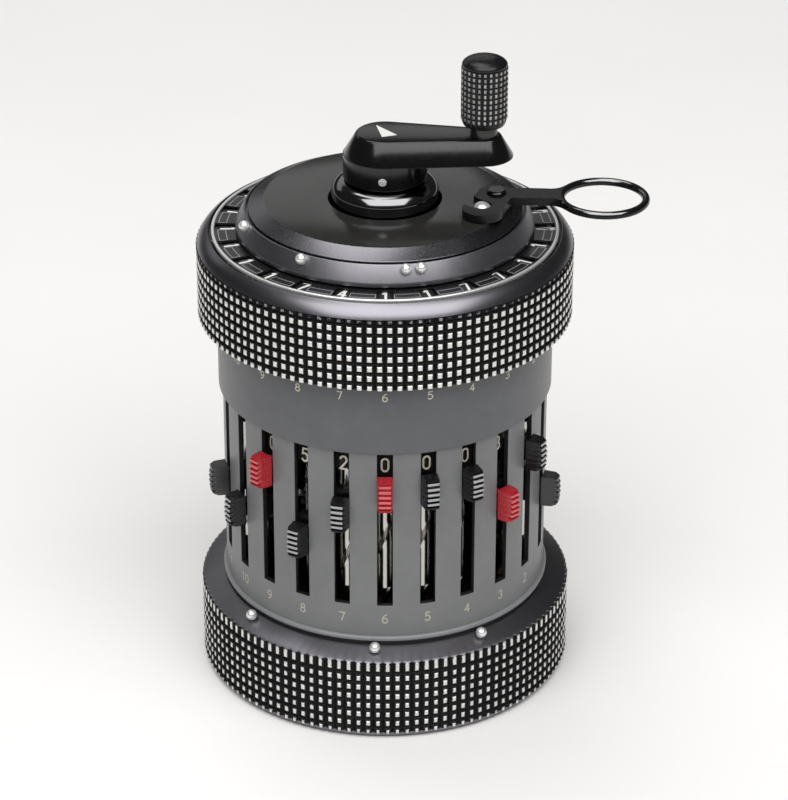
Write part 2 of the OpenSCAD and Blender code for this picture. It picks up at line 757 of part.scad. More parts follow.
// One number dial with its shaft and driven gear
module dial() {
    difference() {
        union() {
            radial_bar(dial_low_r, dial_high_r, dial_z, dial_r);
            radial_bar(dial_gear_low_r + 0.5, dial_low_r + 0.5, dial_z, dial_shaft_r);
            translate([0, -dial_gear_low_r, dial_z]) rotate([90, 0, 0])
                linear_extrude(dial_gear_t) gear_outline(dial_gear_r, gear_teeth, 0.6);
        }
        radial_bar(dial_high_r - dial_pin_in, dial_high_r + 1, dial_z, dial_pin_r + running);
    }
}

// Fifteen dials that show the result
module result_dials() {
    color("black") for (i = [0 : result_places - 1]) rotate([0, 0, first_az - i * pitch]) dial();
}

// Eight dials that count the turns
module counter_dials() {
    color("white") for (i = [0 : counter_places - 1])
        rotate([0, 0, first_az + (i + 1) * pitch]) dial();
}

// Pins in the shell that the outer ends of the dials turn on
module dial_axles() {
    color("silver") for (i = place_numbers)
        rotate([0, 0, first_az - i * pitch])
            radial_bar(dial_high_r - dial_pin_in + 0.2, shell_in_r + dial_pin_in - 0.1, dial_z, dial_pin_r);
}

// Flat cover that turns with the clearing lever
module clearing_plate() {
    color("black") difference() {
        rotate_extrude() polygon([
            [plate_bore_r, plate_z], [plate_out_r, plate_z], [plate_out_r, plate_z + plate_edge_h],
            [cover_top_r, cover_top_z], [plate_bore_r, cover_top_z]]);
        translate([pivot_x, pivot_y, plate_z - 1])
            cylinder(r = pivot_screw_r + snug, h = cover_plate_h + 2, $fn = small_fn);
        translate([pivot_x + stud_offset[0], pivot_y + stud_offset[1], plate_z - 1])
            cylinder(r = pivot_screw_r + snug, h = cover_plate_h + 2, $fn = small_fn);
    }
}

// Ring under the cover with the teeth that set the dials back to zero
module clearing_rack() {
    color("goldenrod") rotate_extrude() translate([rack_in_r, rack_low_z + rack_tooth_h])
        square([rack_out_r - rack_in_r, plate_z - rack_low_z - rack_tooth_h]);
    color("goldenrod") for (i = [0 : rack_teeth - 1]) rotate([0, 0, i * 5 - 80])
        translate([-0.4, -rack_out_r + 0.25, rack_low_z])
            cube([0.8, rack_out_r - rack_in_r - 0.5, rack_tooth_h + 0.2]);
}

// Shouldered pivot screw of the clearing lever, and the bright stop stud beside it
module lever_screws() {
    screw_low = plate_z + 0.2;
    color("black") translate([pivot_x, pivot_y, 0]) {
        translate([0, 0, screw_low])
            cylinder(r = pivot_screw_r, h = lever_top_z + lever_gap - screw_low, $fn = small_fn);
        translate([0, 0, lever_top_z + lever_gap])
            cylinder(r1 = pivot_head_r, r2 = pivot_head_r - 0.35, h = pivot_head_h, $fn = small_fn);
    }
    color("silver") translate([pivot_x + stud_offset[0], pivot_y + stud_offset[1], 0]) {
        translate([0, 0, screw_low])
            cylinder(r = pivot_screw_r, h = cover_top_z - screw_low, $fn = small_fn);
        translate([0, 0, cover_top_z]) cylinder(r = stud_r, h = lever_t - 0.3, $fn = small_fn);
        translate([0, 0, cover_top_z + lever_t - 0.3])
            cylinder(r1 = stud_r, r2 = stud_r - 0.5, h = 0.4, $fn = small_fn);
    }
}

// Outline of the lever from its tail to the finger loop
module lever_outline() {
    fillet_y = handle_w / 2 + handle_fillet_r - 0.05;
    fillet_x = lever_reach - sqrt(pow(loop_r + 0.3 + handle_fillet_r, 2) - pow(fillet_y, 2));
    across = 0.97 * [-tail_offset[1], tail_offset[0]] / norm(tail_offset);
    difference() {
        union() {
            circle(r = pivot_boss_r);
            translate([0, -handle_w / 2]) square([fillet_x + 0.5, handle_w]);
            polygon([[fillet_x, -fillet_y], [lever_reach, 0], [fillet_x, fillet_y]]);
            rotate(-lever_turn) {
                translate(tail_offset) circle(r = tail_r);
                polygon([pivot_boss_r * across, -pivot_boss_r * across,
                    tail_offset - tail_r * across, tail_offset + tail_r * across]);
            }
        }
        circle(r = pivot_screw_r + running, $fn = small_fn);
        translate([lever_reach, 0]) circle(r = loop_r);
        for (side = [-1, 1]) translate([fillet_x, side * fillet_y]) circle(r = handle_fillet_r);
        rotate(-lever_turn) translate(stud_offset) circle(r = notch_r);
    }
}

// Clearing lever with its round-barred finger loop and the notch for the stop stud
module clearing_lever() {
    stud_path_r = norm(stud_offset);
    stud_az = atan2(stud_offset[1], stud_offset[0]);
    color("black") translate([pivot_x, pivot_y, 0]) {
        difference() {
            rotate([0, 0, lever_turn]) translate([0, 0, lever_z]) linear_extrude(lever_t) lever_outline();
            rotate([0, 0, stud_az - notch_deg]) rotate_extrude(angle = notch_deg)
                translate([stud_path_r - notch_r, lever_z - 1]) square([2 * notch_r, lever_t + 2]);
        }
        rotate([0, 0, lever_turn]) translate([lever_reach, 0, lever_z + lever_t / 2]) rotate_extrude()
            translate([loop_r, 0]) circle(r = loop_bar_r, $fn = small_fn);
    }
}

// Side view of a finger button, ridged on its outer face
module button_outline() {
    ridge_h = (button_h - 1.6) / button_ridges;
    ridge_in = 0.45;
    out = button_out;
    polygon(concat(
        [[seat, -button_h / 2 + 0.8], [out - 0.6, -button_h / 2], [out - ridge_in, -button_h / 2 + 0.8]],
        [for (i = [0 : button_ridges - 1], p = [0.15, 0.45, 0.55, 0.85])
            [p < 0.2 || p > 0.8 ? out - ridge_in : out, -button_h / 2 + 0.8 + (i + p) * ridge_h]],
        [[out - ridge_in, button_h / 2 - 0.8], [out - 0.6, button_h / 2], [seat, button_h / 2 - 0.8]]));
}

// One setting slide: button outside, block on the setting shaft, fork and gear inside
module slider(number) {
    z = slide_top_z - digit_step * settings[number - 1];
    neck_w = slot_w - 2 * side_gap;
    neck_top = button_h / 2 - button_drop - 0.4;
    block_w = 4.6;
    block_out_r = tube_in_r - 0.7;
    block_in_r = setting_ring_r - shaft_r - 0.4;
    fork_w = 3.4;
    fork_t = 0.7;
    fork_gap = 0.1;
    fork_in_r = trans_ring_r - 1.7;
    place(first_az - (number - 1) * pitch, 0) translate([0, 0, z]) {
        color(button_colours[number - 1]) {
            translate([-button_w / 2, -tube_r, -button_drop]) rotate([90, 0, 90])
                linear_extrude(button_w) mirror([1, 0]) button_outline();
            difference() {
                union() {
                    translate([-neck_w / 2, -tube_r - seat - 0.2, -block_h / 2])
                        cube([neck_w, tube_r + seat + 0.2 - block_out_r + 0.1, neck_top + block_h / 2]);
                    translate([-block_w / 2, -block_out_r, -block_h / 2])
                        cube([block_w, block_out_r - block_in_r, block_h]);
                }
                translate([0, -setting_ring_r, -block_h])
                    cylinder(r = shaft_r + shaft_bore_gap, h = 2 * block_h, $fn = small_fn);
            }
            radial_bar(block_in_r - 0.3, setting_ring_r - groove_floor_r - 0.15, 0, groove_pin_r);
            for (side = [-1, 1]) difference() {
                translate([-fork_w / 2, -block_in_r - 0.1,
                    side * (gear_t / 2 + fork_gap + fork_t / 2) - fork_t / 2])
                    cube([fork_w, block_in_r + 0.1 - fork_in_r, fork_t]);
                translate([0, -trans_ring_r, -block_h])
                    cylinder(r = trans_r + 0.15, h = 2 * block_h, $fn = small_fn);
            }
        }
        color("silver") translate([0, -trans_ring_r, -gear_t / 2]) linear_extrude(gear_t) difference() {
            gear_outline(gear_r, gear_teeth, gear_tooth_h);
            circle(r = trans_r + running, $fn = small_fn);
        }
    }
}

// One setting shaft: helical groove, figure drum at the top and a journal at each end
module setting_shaft(number) {
    groove_h = groove_high_z - groove_low_z;
    color("silver") place(first_az - (number - 1) * pitch, setting_ring_r)
        rotate([0, 0, 36 * settings[number - 1]]) {
            translate([0, 0, shaft_low_z - journal_in])
                cylinder(r = journal_r, h = journal_in, $fn = small_fn);
            translate([0, 0, shaft_low_z])
                cylinder(r = shaft_r, h = groove_low_z - shaft_low_z, $fn = small_fn);
            translate([0, 0, groove_low_z])
                rotate([0, 0, groove_rate * (groove_low_z - slide_top_z)])
                    linear_extrude(groove_h, twist = -groove_rate * groove_h, slices = groove_slices,
                        $fn = groove_sides)
                        difference() {
                            circle(r = shaft_r - snug);
                            translate([-groove_w / 2, groove_floor_r]) square([groove_w, shaft_r]);
                        }
            translate([0, 0, groove_high_z])
                cylinder(r = shaft_r, h = figure_z - groove_high_z, $fn = small_fn);
            translate([0, 0, figure_z]) cylinder(r = figure_r, h = figure_h, $fn = 40);
            translate([0, 0, figure_z + figure_h])
                cylinder(r = journal_r, h = journal_in, $fn = small_fn);
        }
}

// One decimal bead: a ball on the slope, with a stem that runs in its groove
module bead(az, r, slope_z, slope) {
    ball_z = slope_z + (bead_r + bead_gap) / cos(atan(slope));
    color("white") place(az, r) {
        translate([0, 0, ball_z]) sphere(r = bead_r, $fn = 40);
        translate([0, 0, slope_z - bead_groove_depth + 0.7])
            cylinder(r = bead_stem_r, h = ball_z - slope_z + bead_groove_depth - 0.7, $fn = 24);
    }
}

module base_bead(number) {
    bead(base_bead_az[number - 1], base_bead_r, base_bead_slope_z, base_slope);
}

module carriage_bead(number) {
    bead(carriage_bead_az[number - 1], carriage_bead_r, carriage_bead_slope_z, carriage_slope);
}

base_ring();
base_cover();
base_screws();
housing_tube();
upper_collar();
lower_bearing_plate();
upper_bearing_plate();
guide_tube();
hub_collar();
transmission_shafts();
carry_gears();
reversing_lever();
tens_bell();
main_shaft();
step_drum();
crank_arm();
crank_pin();
knob_stud();
crank_knob();
carriage_sleeve();
carriage_spring();
carriage_body();
carriage_core();
window_ring();
result_dials();
counter_dials();
dial_axles();
clearing_plate();
clearing_rack();
lever_screws();
clearing_lever();
slider(1);  // slider_1
slider(2);  // slider_2
slider(3);  // slider_3
slider(4);  // slider_4
slider(5);  // slider_5
slider(6);  // slider_6
slider(7);  // slider_7
slider(8);  // slider_8
slider(9);  // slider_9
slider(10);  // slider_10
slider(11);  // slider_11
setting_shaft(1);  // setting_shaft_1
setting_shaft(2);  // setting_shaft_2
setting_shaft(3);  // setting_shaft_3
setting_shaft(4);  // setting_shaft_4
setting_shaft(5);  // setting_shaft_5
setting_shaft(6);  // setting_shaft_6
setting_shaft(7);  // setting_shaft_7
setting_shaft(8);  // setting_shaft_8
setting_shaft(9);  // setting_shaft_9
setting_shaft(10);  // setting_shaft_10
setting_shaft(11);  // setting_shaft_11
base_bead(1);  // base_bead_1
base_bead(2);  // base_bead_2
base_bead(3);  // base_bead_3
carriage_bead(1);  // carriage_bead_1
carriage_bead(2);  // carriage_bead_2
carriage_bead(3);  // carriage_bead_3
carriage_bead(4);  // carriage_bead_4
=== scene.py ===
import json
import math
import random

import bmesh
import bpy
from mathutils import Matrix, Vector

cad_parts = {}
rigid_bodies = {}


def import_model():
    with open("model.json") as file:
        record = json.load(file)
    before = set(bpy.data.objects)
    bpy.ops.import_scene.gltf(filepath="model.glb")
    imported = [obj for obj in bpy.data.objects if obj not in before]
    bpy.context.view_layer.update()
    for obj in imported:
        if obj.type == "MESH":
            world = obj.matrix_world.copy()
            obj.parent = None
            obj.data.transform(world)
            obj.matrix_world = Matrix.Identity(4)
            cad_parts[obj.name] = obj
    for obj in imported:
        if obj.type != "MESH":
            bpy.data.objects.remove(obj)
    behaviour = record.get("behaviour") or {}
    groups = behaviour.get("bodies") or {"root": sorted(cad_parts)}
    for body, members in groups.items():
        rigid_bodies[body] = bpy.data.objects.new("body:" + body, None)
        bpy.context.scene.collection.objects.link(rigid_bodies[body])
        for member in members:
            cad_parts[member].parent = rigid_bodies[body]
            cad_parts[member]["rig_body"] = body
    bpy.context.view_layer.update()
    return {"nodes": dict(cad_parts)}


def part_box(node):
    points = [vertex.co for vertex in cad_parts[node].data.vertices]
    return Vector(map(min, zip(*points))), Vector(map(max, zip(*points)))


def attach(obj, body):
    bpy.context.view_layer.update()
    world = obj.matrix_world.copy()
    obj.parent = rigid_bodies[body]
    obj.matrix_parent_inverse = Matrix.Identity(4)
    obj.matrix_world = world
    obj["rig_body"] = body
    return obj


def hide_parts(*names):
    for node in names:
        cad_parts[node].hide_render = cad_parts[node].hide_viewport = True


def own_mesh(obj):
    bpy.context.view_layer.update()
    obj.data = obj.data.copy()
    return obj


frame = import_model()
random.seed(7)

MM = 0.001
SHARP_DEG = 31
FLAT_DEG = 0.6
ROUND_STEPS = 192


def node_box(node):
    """Lowest and highest corner of a CAD node, in millimetres."""
    low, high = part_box(node)
    return low / MM, high / MM


# Decimal places round the axis, counted from the front towards +X
PITCH_DEG = 15
DIGIT_DEG = 36
SLIDERS = 11
FIRST_AZ = 75
RESULT_PLACES = 15
COUNTER_PLACES = 8
SETTINGS = [5, 0, 3, 0, 0, 0, 2, 5, 0, 5, 4]
RESULT_FIGURES = [1, 1, 7, 7, 1, 1, 4, 7, 1, 1, 1, 1, 1, 1, 1]
COUNTER_FIGURES = [7, 7, 1, 0, 0, 0, 0, 0]
BUTTON_KINDS = ["grey", "black", "red", "black", "black", "red",
                "black", "black", "red", "black", "grey"]

# Radii and levels of the frame, in millimetres
BASE_R = node_box("base_ring")[1].x
BASE_TOP = node_box("base_ring")[1].z
FOOT_R = node_box("housing_tube")[1].x
TUBE_R = FOOT_R - 0.55
COLLAR_R = node_box("upper_collar")[1].x
SHELL_R = node_box("carriage_body")[1].x
SHELL_LOW = node_box("carriage_body")[0].z
SHELL_TOP = node_box("carriage_body")[1].z
WINDOW_R = node_box("window_ring")[1].x
WINDOW_TOP = node_box("window_ring")[1].z
PLATE_R = node_box("clearing_plate")[1].x
PLATE_TOP = node_box("clearing_plate")[1].z
PLATE_LOW = node_box("clearing_plate")[0].z
HUB_R = node_box("hub_collar")[1].x
HUB_LOW = node_box("hub_collar")[0].z
HUB_TOP = node_box("hub_collar")[1].z
ARM_LOW = node_box("crank_arm")[0].z
ARM_TOP = node_box("crank_arm")[1].z
KNOB_LOW, KNOB_HIGH = node_box("crank_knob")


def polar(radius, azimuth, z):
    """Point at an azimuth in degrees, counted from the front towards +X."""
    angle = math.radians(azimuth)
    return (radius * math.sin(angle), -radius * math.cos(angle), z)


def place_azimuth(number):
    """Azimuth of a decimal place, of which 0 is the first one of the result."""
    return FIRST_AZ - number * PITCH_DEG


def beside(x, radius, azimuth, z):
    """Point at a radius along an azimuth, and x to its side."""
    turn = math.radians(azimuth)
    return (x * math.cos(turn) + radius * math.sin(turn), x * math.sin(turn) - radius * math.cos(turn), z)


def shifted(points, centre):
    """Points moved level to stand round a centre."""
    return [(x + centre[0], y + centre[1], z) for x, y, z in points]


def spread(low, high, count):
    """Evenly spaced numbers from low to high, both included."""
    return [low + (high - low) * i / (count - 1) for i in range(count)]


def arc(cx, cy, rx, ry, start, end, count=9):
    """Points of an arc, with its angles in degrees counted from +X."""
    return [(cx + rx * math.cos(math.radians(a)), cy + ry * math.sin(math.radians(a)))
            for a in spread(start, end, count)]


class Shape:
    """Points in millimetres and faces, with a look for every face and a wear for every point, which marks
    worn places and also painted highlight and painted shade.
    """

    def __init__(self):
        self.points, self.faces, self.looks, self.wear = [], [], [], []

    def add(self, points, faces, look=0, wear=None):
        start = len(self.points)
        self.points += points
        self.faces += [[start + i for i in face] for face in faces]
        self.looks += look if isinstance(look, list) else [look] * len(faces)
        self.wear += wear or [0.0] * len(points)

    def rings(self, rows, look=0, wear=None, wrap=False, caps=False):
        """Joins rows of points, each closed on itself. The ends are joined, capped or left open."""
        count = len(rows[0])
        faces, looks = [], []
        for i in range(len(rows) if wrap else len(rows) - 1):
            a, b = i * count, (i + 1) % len(rows) * count
            for j in range(count):
                k = (j + 1) % count
                faces.append([a + j, a + k, b + k, b + j])
                looks.append(look[i] if isinstance(look, list) else look)
        if caps:
            top = (len(rows) - 1) * count
            faces += [list(range(count))[::-1], [top + j for j in range(count)]]
            looks += [looks[0], looks[-1]]
        point_wear = [w for w in wear for _ in range(count)] if wear else None
        self.add([p for row in rows for p in row], faces, looks, point_wear)

    def slab(self, outline, faces, low, high, look=0):
        """Gives faces over flat points a thickness, from where low maps a point to where high does."""
        count = len(outline)
        edges = {}
        for face in faces:
            for a, b in zip(face, face[1:] + face[:1]):
                edges[frozenset((a, b))] = None if frozenset((a, b)) in edges else (a, b)
        sides = [[e[0] + count, e[1] + count, e[1], e[0]] for e in edges.values() if e]
        under = [[i + count for i in reversed(face)] for face in faces]
        self.add([high(p) for p in outline] + [low(p) for p in outline], faces + under + sides, look)


def rounded(corners, steps=5):
    """Turns corners (r, z, radius) of an outline into (r, z) points with an arc at each corner."""
    outline = []
    for i, (r, z, radius) in enumerate(corners):
        here = Vector((r, z))
        if radius == 0:
            outline.append((r, z))
            continue
        before = (Vector(corners[i - 1][:2]) - here).normalized()
        after = (Vector(corners[(i + 1) % len(corners)][:2]) - here).normalized()
        half = before.angle(after) / 2
        reach = radius / math.tan(half)
        centre = here + (before + after).normalized() * (radius / math.sin(half))
        start, end = here + before * reach - centre, here + after * reach - centre
        for t in spread(0, 1, steps):
            spoke = start.lerp(end, t).normalized() * radius
            outline.append(tuple(centre + spoke))
    return outline


def turned(shape, outline, look=0, wear=None, steps=ROUND_STEPS, centre=(0, 0), wrap=True, caps=False):
    """Turns an outline of (r, z) points round an upright axis."""
    rows = []
    for r, z in outline:
        ring = [polar(r, -360 * j / steps, z) for j in range(steps)]
        rows.append(shifted(ring, centre))
    shape.rings(rows, look, wear, wrap, caps)


def knurled(shape, rows, columns, phase, share, centre=(0, 0), wrap=True, caps=False):
    """Turned form whose rows (r, z, tip_r, wear, look) stand out to tip_r over the knurl's tips; a low wear
    also stands for painted shade.
    """
    step = 360 / columns
    marks = [(phase + step * k + offset, tip) for k in range(columns)
             for offset, tip in ((-step * share / 2, True), (step * share / 2, True), (step / 2, False))]
    tip_wear = [random.uniform(0.9, 1.0) for _ in range(columns * len(rows))]
    points, wear, high = [], [], []
    for i, (r, z, tip_r, worn_and_lit, _) in enumerate(rows):
        for j, (azimuth, tip) in enumerate(marks):
            points.append(polar(tip_r if tip else r, azimuth, z))
            wear.append(worn_and_lit * tip_wear[j // 3 + i // 3 * columns] if tip else 0.0)
            high.append(tip and tip_r > r)
    count = len(marks)
    faces, looks = [], []
    for i in range(len(rows) if wrap else len(rows) - 1):
        for j in range(count):
            k, up = (j + 1) % count, (i + 1) % len(rows)
            a, b, c, d = i * count + j, i * count + k, up * count + k, up * count + j
            cell = [high[n] for n in (a, b, c, d)]
            if sum(cell) == 1 and (cell[0] or cell[2]):
                cut = [[a, b, c], [a, c, d]]
            elif sum(cell) == 1:
                cut = [[a, b, d], [b, c, d]]
            else:
                cut = [[a, b, c, d]]
            faces += cut
            looks += [rows[i][4]] * len(cut)
    if caps:
        top = (len(rows) - 1) * count
        faces += [list(range(count))[::-1], [top + j for j in range(count)]]
        looks += [rows[0][4], rows[-1][4]]
    shape.add(shifted(points, centre), faces, looks, wear)


def tip_rows(first, pitch, tip, count):
    """Rows of like tips above one another, as (low, high, wear), from the middle of the lowest up; a low
    wear also stands for painted shade.
    """
    centres = [first + pitch * i for i in range(count)]
    return [(c - tip / 2, c + tip / 2, 1.0) for c in centres]


def knurl_rows(radius, depth, tips):
    """Rows of a knurl whose tips are given as (low, high, wear), with a groove between neighbours; a low
    wear also stands for painted shade.
    """
    rows = []
    for i, (low, high, wear) in enumerate(tips):
        if i:
            middle = (tips[i - 1][1] + low) / 2
            rows.append((radius - depth, middle, radius - depth, 0.0, 1))
        rows.append((radius - depth, low, radius, wear, 1))
        rows.append((radius - depth, high, radius, wear, 1))
    return rows


def plain_rows(outline, look=0):
    """Rows of a turned form without a knurl."""
    return [(r, z, r, 0.0, look) for r, z in outline]


def piece(name, shape, looks, body, stands_for=()):
    """Makes an object of a shape, rides it on a body and hides the CAD nodes that it stands for."""
    mesh = bpy.data.meshes.new(name)
    mesh.from_pydata([Vector(p) * MM for p in shape.points], [], shape.faces)
    for look in looks:
        mesh.materials.append(look)
    mesh.polygons.foreach_set("material_index", shape.looks)
    mesh.attributes.new("wear", "FLOAT", "POINT").data.foreach_set("value", shape.wear)
    form = bmesh.new()
    form.from_mesh(mesh)
    bmesh.ops.recalc_face_normals(form, faces=form.faces)
    form.to_mesh(mesh)
    form.free()
    return finished(name, mesh, body, stands_for)


def finished(name, mesh, body, stands_for):
    """Makes an object of a mesh, smooth between its sharp edges, and says what it is to the frame."""
    mesh.polygons.foreach_set("use_smooth", [True] * len(mesh.polygons))
    mesh.set_sharp_from_angle(angle=math.radians(SHARP_DEG))
    made = bpy.data.objects.new(name, mesh)
    bpy.context.scene.collection.objects.link(made)
    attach(made, body)
    if stands_for:
        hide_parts(*stands_for)
    return made


def simplified(form, reach):
    """Joins a form's points that lie within a reach, and makes its flat faces whole."""
    bmesh.ops.remove_doubles(form, verts=form.verts, dist=reach * MM)
    bmesh.ops.dissolve_limit(form, angle_limit=math.radians(FLAT_DEG), verts=form.verts, edges=form.edges)


def merged(node):
    """A copy of a CAD node's mesh for editing."""
    form = bmesh.new()
    form.from_mesh(frame["nodes"][node].data)
    simplified(form, 0.002)
    return form


def cut_above(form, z):
    """The form cut off at a height, its cut closed."""
    plane = bmesh.ops.bisect_plane(form, geom=form.verts[:] + form.edges[:] + form.faces[:],
                                   plane_co=(0, 0, z * MM), plane_no=(0, 0, 1), clear_outer=True)
    rim = [g for g in plane["geom_cut"] if isinstance(g, bmesh.types.BMEdge)]
    bmesh.ops.triangle_fill(form, use_beauty=True, edges=rim)


def dressed(node, looks, edge=0.0, choose=None, change=None):
    """A copy of a CAD node with its edges rounded, and a look chosen for each face by its middle."""
    form = merged(node)
    if change:
        change(form)
    if edge:
        corners = [e for e in form.edges if len(e.link_faces) == 2
                   and e.calc_face_angle(0) > math.radians(SHARP_DEG)]
        bmesh.ops.bevel(form, geom=corners, offset=edge * MM, offset_type="OFFSET", segments=2,
                        profile=0.5, affect="EDGES", clamp_overlap=True)
    for face in form.faces:
        face.material_index = choose(face.calc_center_median() / MM, face.normal) if choose else 0
    mesh = bpy.data.meshes.new(node + "_finish")
    form.to_mesh(mesh)
    form.free()
    for look in looks:
        mesh.materials.append(look)
    made = finished(node + "_finish", mesh, frame["nodes"][node]["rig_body"], (node,))
    even = made.modifiers.new("flat faces", "WEIGHTED_NORMAL")
    even.keep_sharp = True
    return made


# Materials

def new_material(name):
    material = bpy.data.materials.new(name)
    material.use_nodes = True
    tree = material.node_tree
    return material, tree, tree.nodes["Principled BSDF"]


def add(tree, kind, values=None, **settings):
    """A shader node with its settings, and its inputs set to numbers or joined to sockets."""
    made = tree.nodes.new("ShaderNode" + kind)
    for key, value in settings.items():
        setattr(made, key, value)
    for key, value in (values or {}).items():
        if isinstance(value, bpy.types.NodeSocket):
            tree.links.new(value, made.inputs[key])
        else:
            made.inputs[key].default_value = value
    return made


def noise(tree, size_mm, detail=2.0, stretch=(1, 1, 1)):
    """Noise fixed to the piece, whose features are about size_mm across."""
    place = add(tree, "TexCoord").outputs["Object"]
    mapped = add(tree, "Mapping", {"Vector": place, "Scale": stretch}).outputs["Vector"]
    scale = 1 / (size_mm * MM)
    return add(tree, "TexNoise", {"Vector": mapped, "Scale": scale, "Detail": detail}).outputs["Fac"]


def ramp(tree, value, stops):
    """Colours at places along a value from 0 to 1."""
    made = add(tree, "ValToRGB", {"Fac": value})
    elements = made.color_ramp.elements
    while len(elements) < len(stops):
        elements.new(0.5)
    for element, (place, color) in zip(elements, stops):
        element.position = place
        element.color = (*color, 1)
    return made.outputs["Color"]


def span(tree, value, low, high, start=0.3, end=0.7):
    """Stretches a value between start and end to the span from low to high."""
    limits = {"Value": value, "From Min": start, "From Max": end, "To Min": low, "To Max": high}
    return add(tree, "MapRange", limits).outputs["Result"]


def blend_color(tree, share, a, b):
    """Colour between a and b, by a share from 0 to 1."""
    made = add(tree, "Mix", data_type="RGBA")
    by_name = {socket.identifier: socket for socket in made.inputs}
    for key, value in (("Factor_Float", share), ("A_Color", a), ("B_Color", b)):
        if isinstance(value, bpy.types.NodeSocket):
            tree.links.new(value, by_name[key])
        else:
            by_name[key].default_value = (*value, 1) if isinstance(value, tuple) else value
    return [socket for socket in made.outputs if socket.identifier == "Result_Color"][0]


def tinted(color, amount):
    return tuple(min(1.0, channel * amount) for channel in color)


DUST = (0.42, 0.41, 0.40)
DUST_MM = 2.2
PATCH_MM = 0.5


def surface(name, color, rough, metal=0.0, vary=0.12, rough_vary=0.06, drift_mm=7.0, grain_mm=0.35,
            bump_mm=0.004, stretch=(1, 1, 1), worn_and_lit=None, worn_metal=1.0, dust=0.0, gloss=0.5):
    """Finish whose colour drifts over the piece, with a fine grain, and another colour where the wear is
    high: bare material where it is worn, also a painted highlight on the buttons' ridges, and by a low wear
    painted shade on the carriage's top knurl row.
    """
    material, tree, shader = new_material(name)
    drift = noise(tree, drift_mm, 3.0)
    grain = noise(tree, grain_mm, 2.0, stretch)
    tone = ramp(tree, drift, [(0.3, tinted(color, 1 - vary)), (0.7, tinted(color, 1 + vary))])
    speck = ramp(tree, grain, [(0.35, tinted(color, 1 - vary / 2)), (0.65, tinted(color, 1 + vary / 2))])
    tone = blend_color(tree, 0.5, tone, speck)
    roughness = span(tree, grain, rough - rough_vary, rough + rough_vary)
    if dust:
        film = span(tree, noise(tree, DUST_MM, 4.0), 0.0, dust, 0.45, 0.8)
        tone = blend_color(tree, film, tone, DUST)
    shader.inputs["Metallic"].default_value = metal
    if worn_and_lit:
        wear = add(tree, "Attribute", attribute_name="wear").outputs["Fac"]
        patchy = span(tree, noise(tree, PATCH_MM, 3.0), -0.07, 0.05)
        total = add(tree, "Math", {0: wear, 1: patchy}, operation="ADD").outputs["Value"]
        bare_and_lit = span(tree, total, 0.0, 1.0, 0.66, 0.84)
        tone = blend_color(tree, bare_and_lit, tone, worn_and_lit)
        if worn_metal != metal:
            tree.links.new(span(tree, bare_and_lit, metal, worn_metal, 0.0, 1.0), shader.inputs["Metallic"])
    tree.links.new(tone, shader.inputs["Base Color"])
    tree.links.new(roughness, shader.inputs["Roughness"])
    shader.inputs["Specular IOR Level"].default_value = gloss
    bump = add(tree, "Bump", {"Height": grain, "Distance": bump_mm * MM, "Strength": 1.0})
    tree.links.new(bump.outputs["Normal"], shader.inputs["Normal"])
    return material


ROUND = (0.15, 0.15, 1)
BARE = (0.80, 0.79, 0.77)

grey_paint = surface("grey_paint", (0.168, 0.172, 0.176), 0.40, grain_mm=0.22, bump_mm=0.010, vary=0.09,
                     dust=0.05)
# The tube's grey paint made lighter for the flange: painted light on its rounded top, which faces the lamps
grey_paint_lit = surface("grey_paint_lit", (0.225, 0.23, 0.235), 0.32, grain_mm=0.22, bump_mm=0.004)
# The tube's grey paint darkened for the collar: painted shade from the carriage's overhang
grey_paint_shaded = surface("grey_paint_shaded", (0.098, 0.102, 0.111), 0.38, grain_mm=0.22, bump_mm=0.008, dust=0.03)
ring_satin = surface("ring_satin", (0.25, 0.243, 0.262), 0.38, metal=1.0, grain_mm=0.25, bump_mm=0.001)
slope_satin = surface("slope_satin", (0.20, 0.196, 0.212), 0.38, metal=1.0, grain_mm=0.25, bump_mm=0.001)
black_knurl = surface("black_knurl", (0.005, 0.005, 0.006), 0.5, grain_mm=0.3, bump_mm=0.001,
                      worn_and_lit=BARE, gloss=0.15)
knob_knurl = surface("knob_knurl", (0.008, 0.008, 0.009), 0.45, grain_mm=0.3, bump_mm=0.001,
                     worn_and_lit=(0.50, 0.49, 0.48))
black_gloss = surface("black_gloss", (0.020, 0.0195, 0.0185), 0.16, rough_vary=0.03, grain_mm=0.5,
                      bump_mm=0.0006, dust=0.01)
crank_gloss = surface("crank_gloss", (0.0045, 0.0046, 0.005), 0.17, rough_vary=0.03, grain_mm=0.5,
                      bump_mm=0.0006)
bevel_gloss = surface("bevel_gloss", (0.17, 0.165, 0.18), 0.26, metal=1.0, vary=0.05, rough_vary=0.02,
                      grain_mm=0.5, bump_mm=0.0)
rim_gloss = surface("rim_gloss", (0.215, 0.208, 0.228), 0.31, metal=1.0, vary=0.05, rough_vary=0.01,
                    grain_mm=0.5, bump_mm=0.0)
collar_gloss = surface("collar_gloss", (0.20, 0.20, 0.205), 0.13, metal=1.0, vary=0.05, rough_vary=0.01,
                       grain_mm=0.5, bump_mm=0.0)
black_satin = surface("black_satin", (0.02, 0.02, 0.022), 0.4, grain_mm=0.3, bump_mm=0.002, dust=0.03)
knob_black = surface("knob_black", (0.006, 0.006, 0.007), 0.3, grain_mm=0.3, bump_mm=0.001, gloss=0.35)
lever_black = surface("lever_black", (0.006, 0.006, 0.007), 0.28, rough_vary=0.02, grain_mm=0.6,
                      bump_mm=0.0, gloss=0.25)
panel_black = surface("panel_black", (0.012, 0.012, 0.013), 0.25, grain_mm=0.3, bump_mm=0.001)
panel_frame = surface("panel_frame", (0.40, 0.40, 0.41), 0.35, metal=0.5, grain_mm=0.3, bump_mm=0.001)
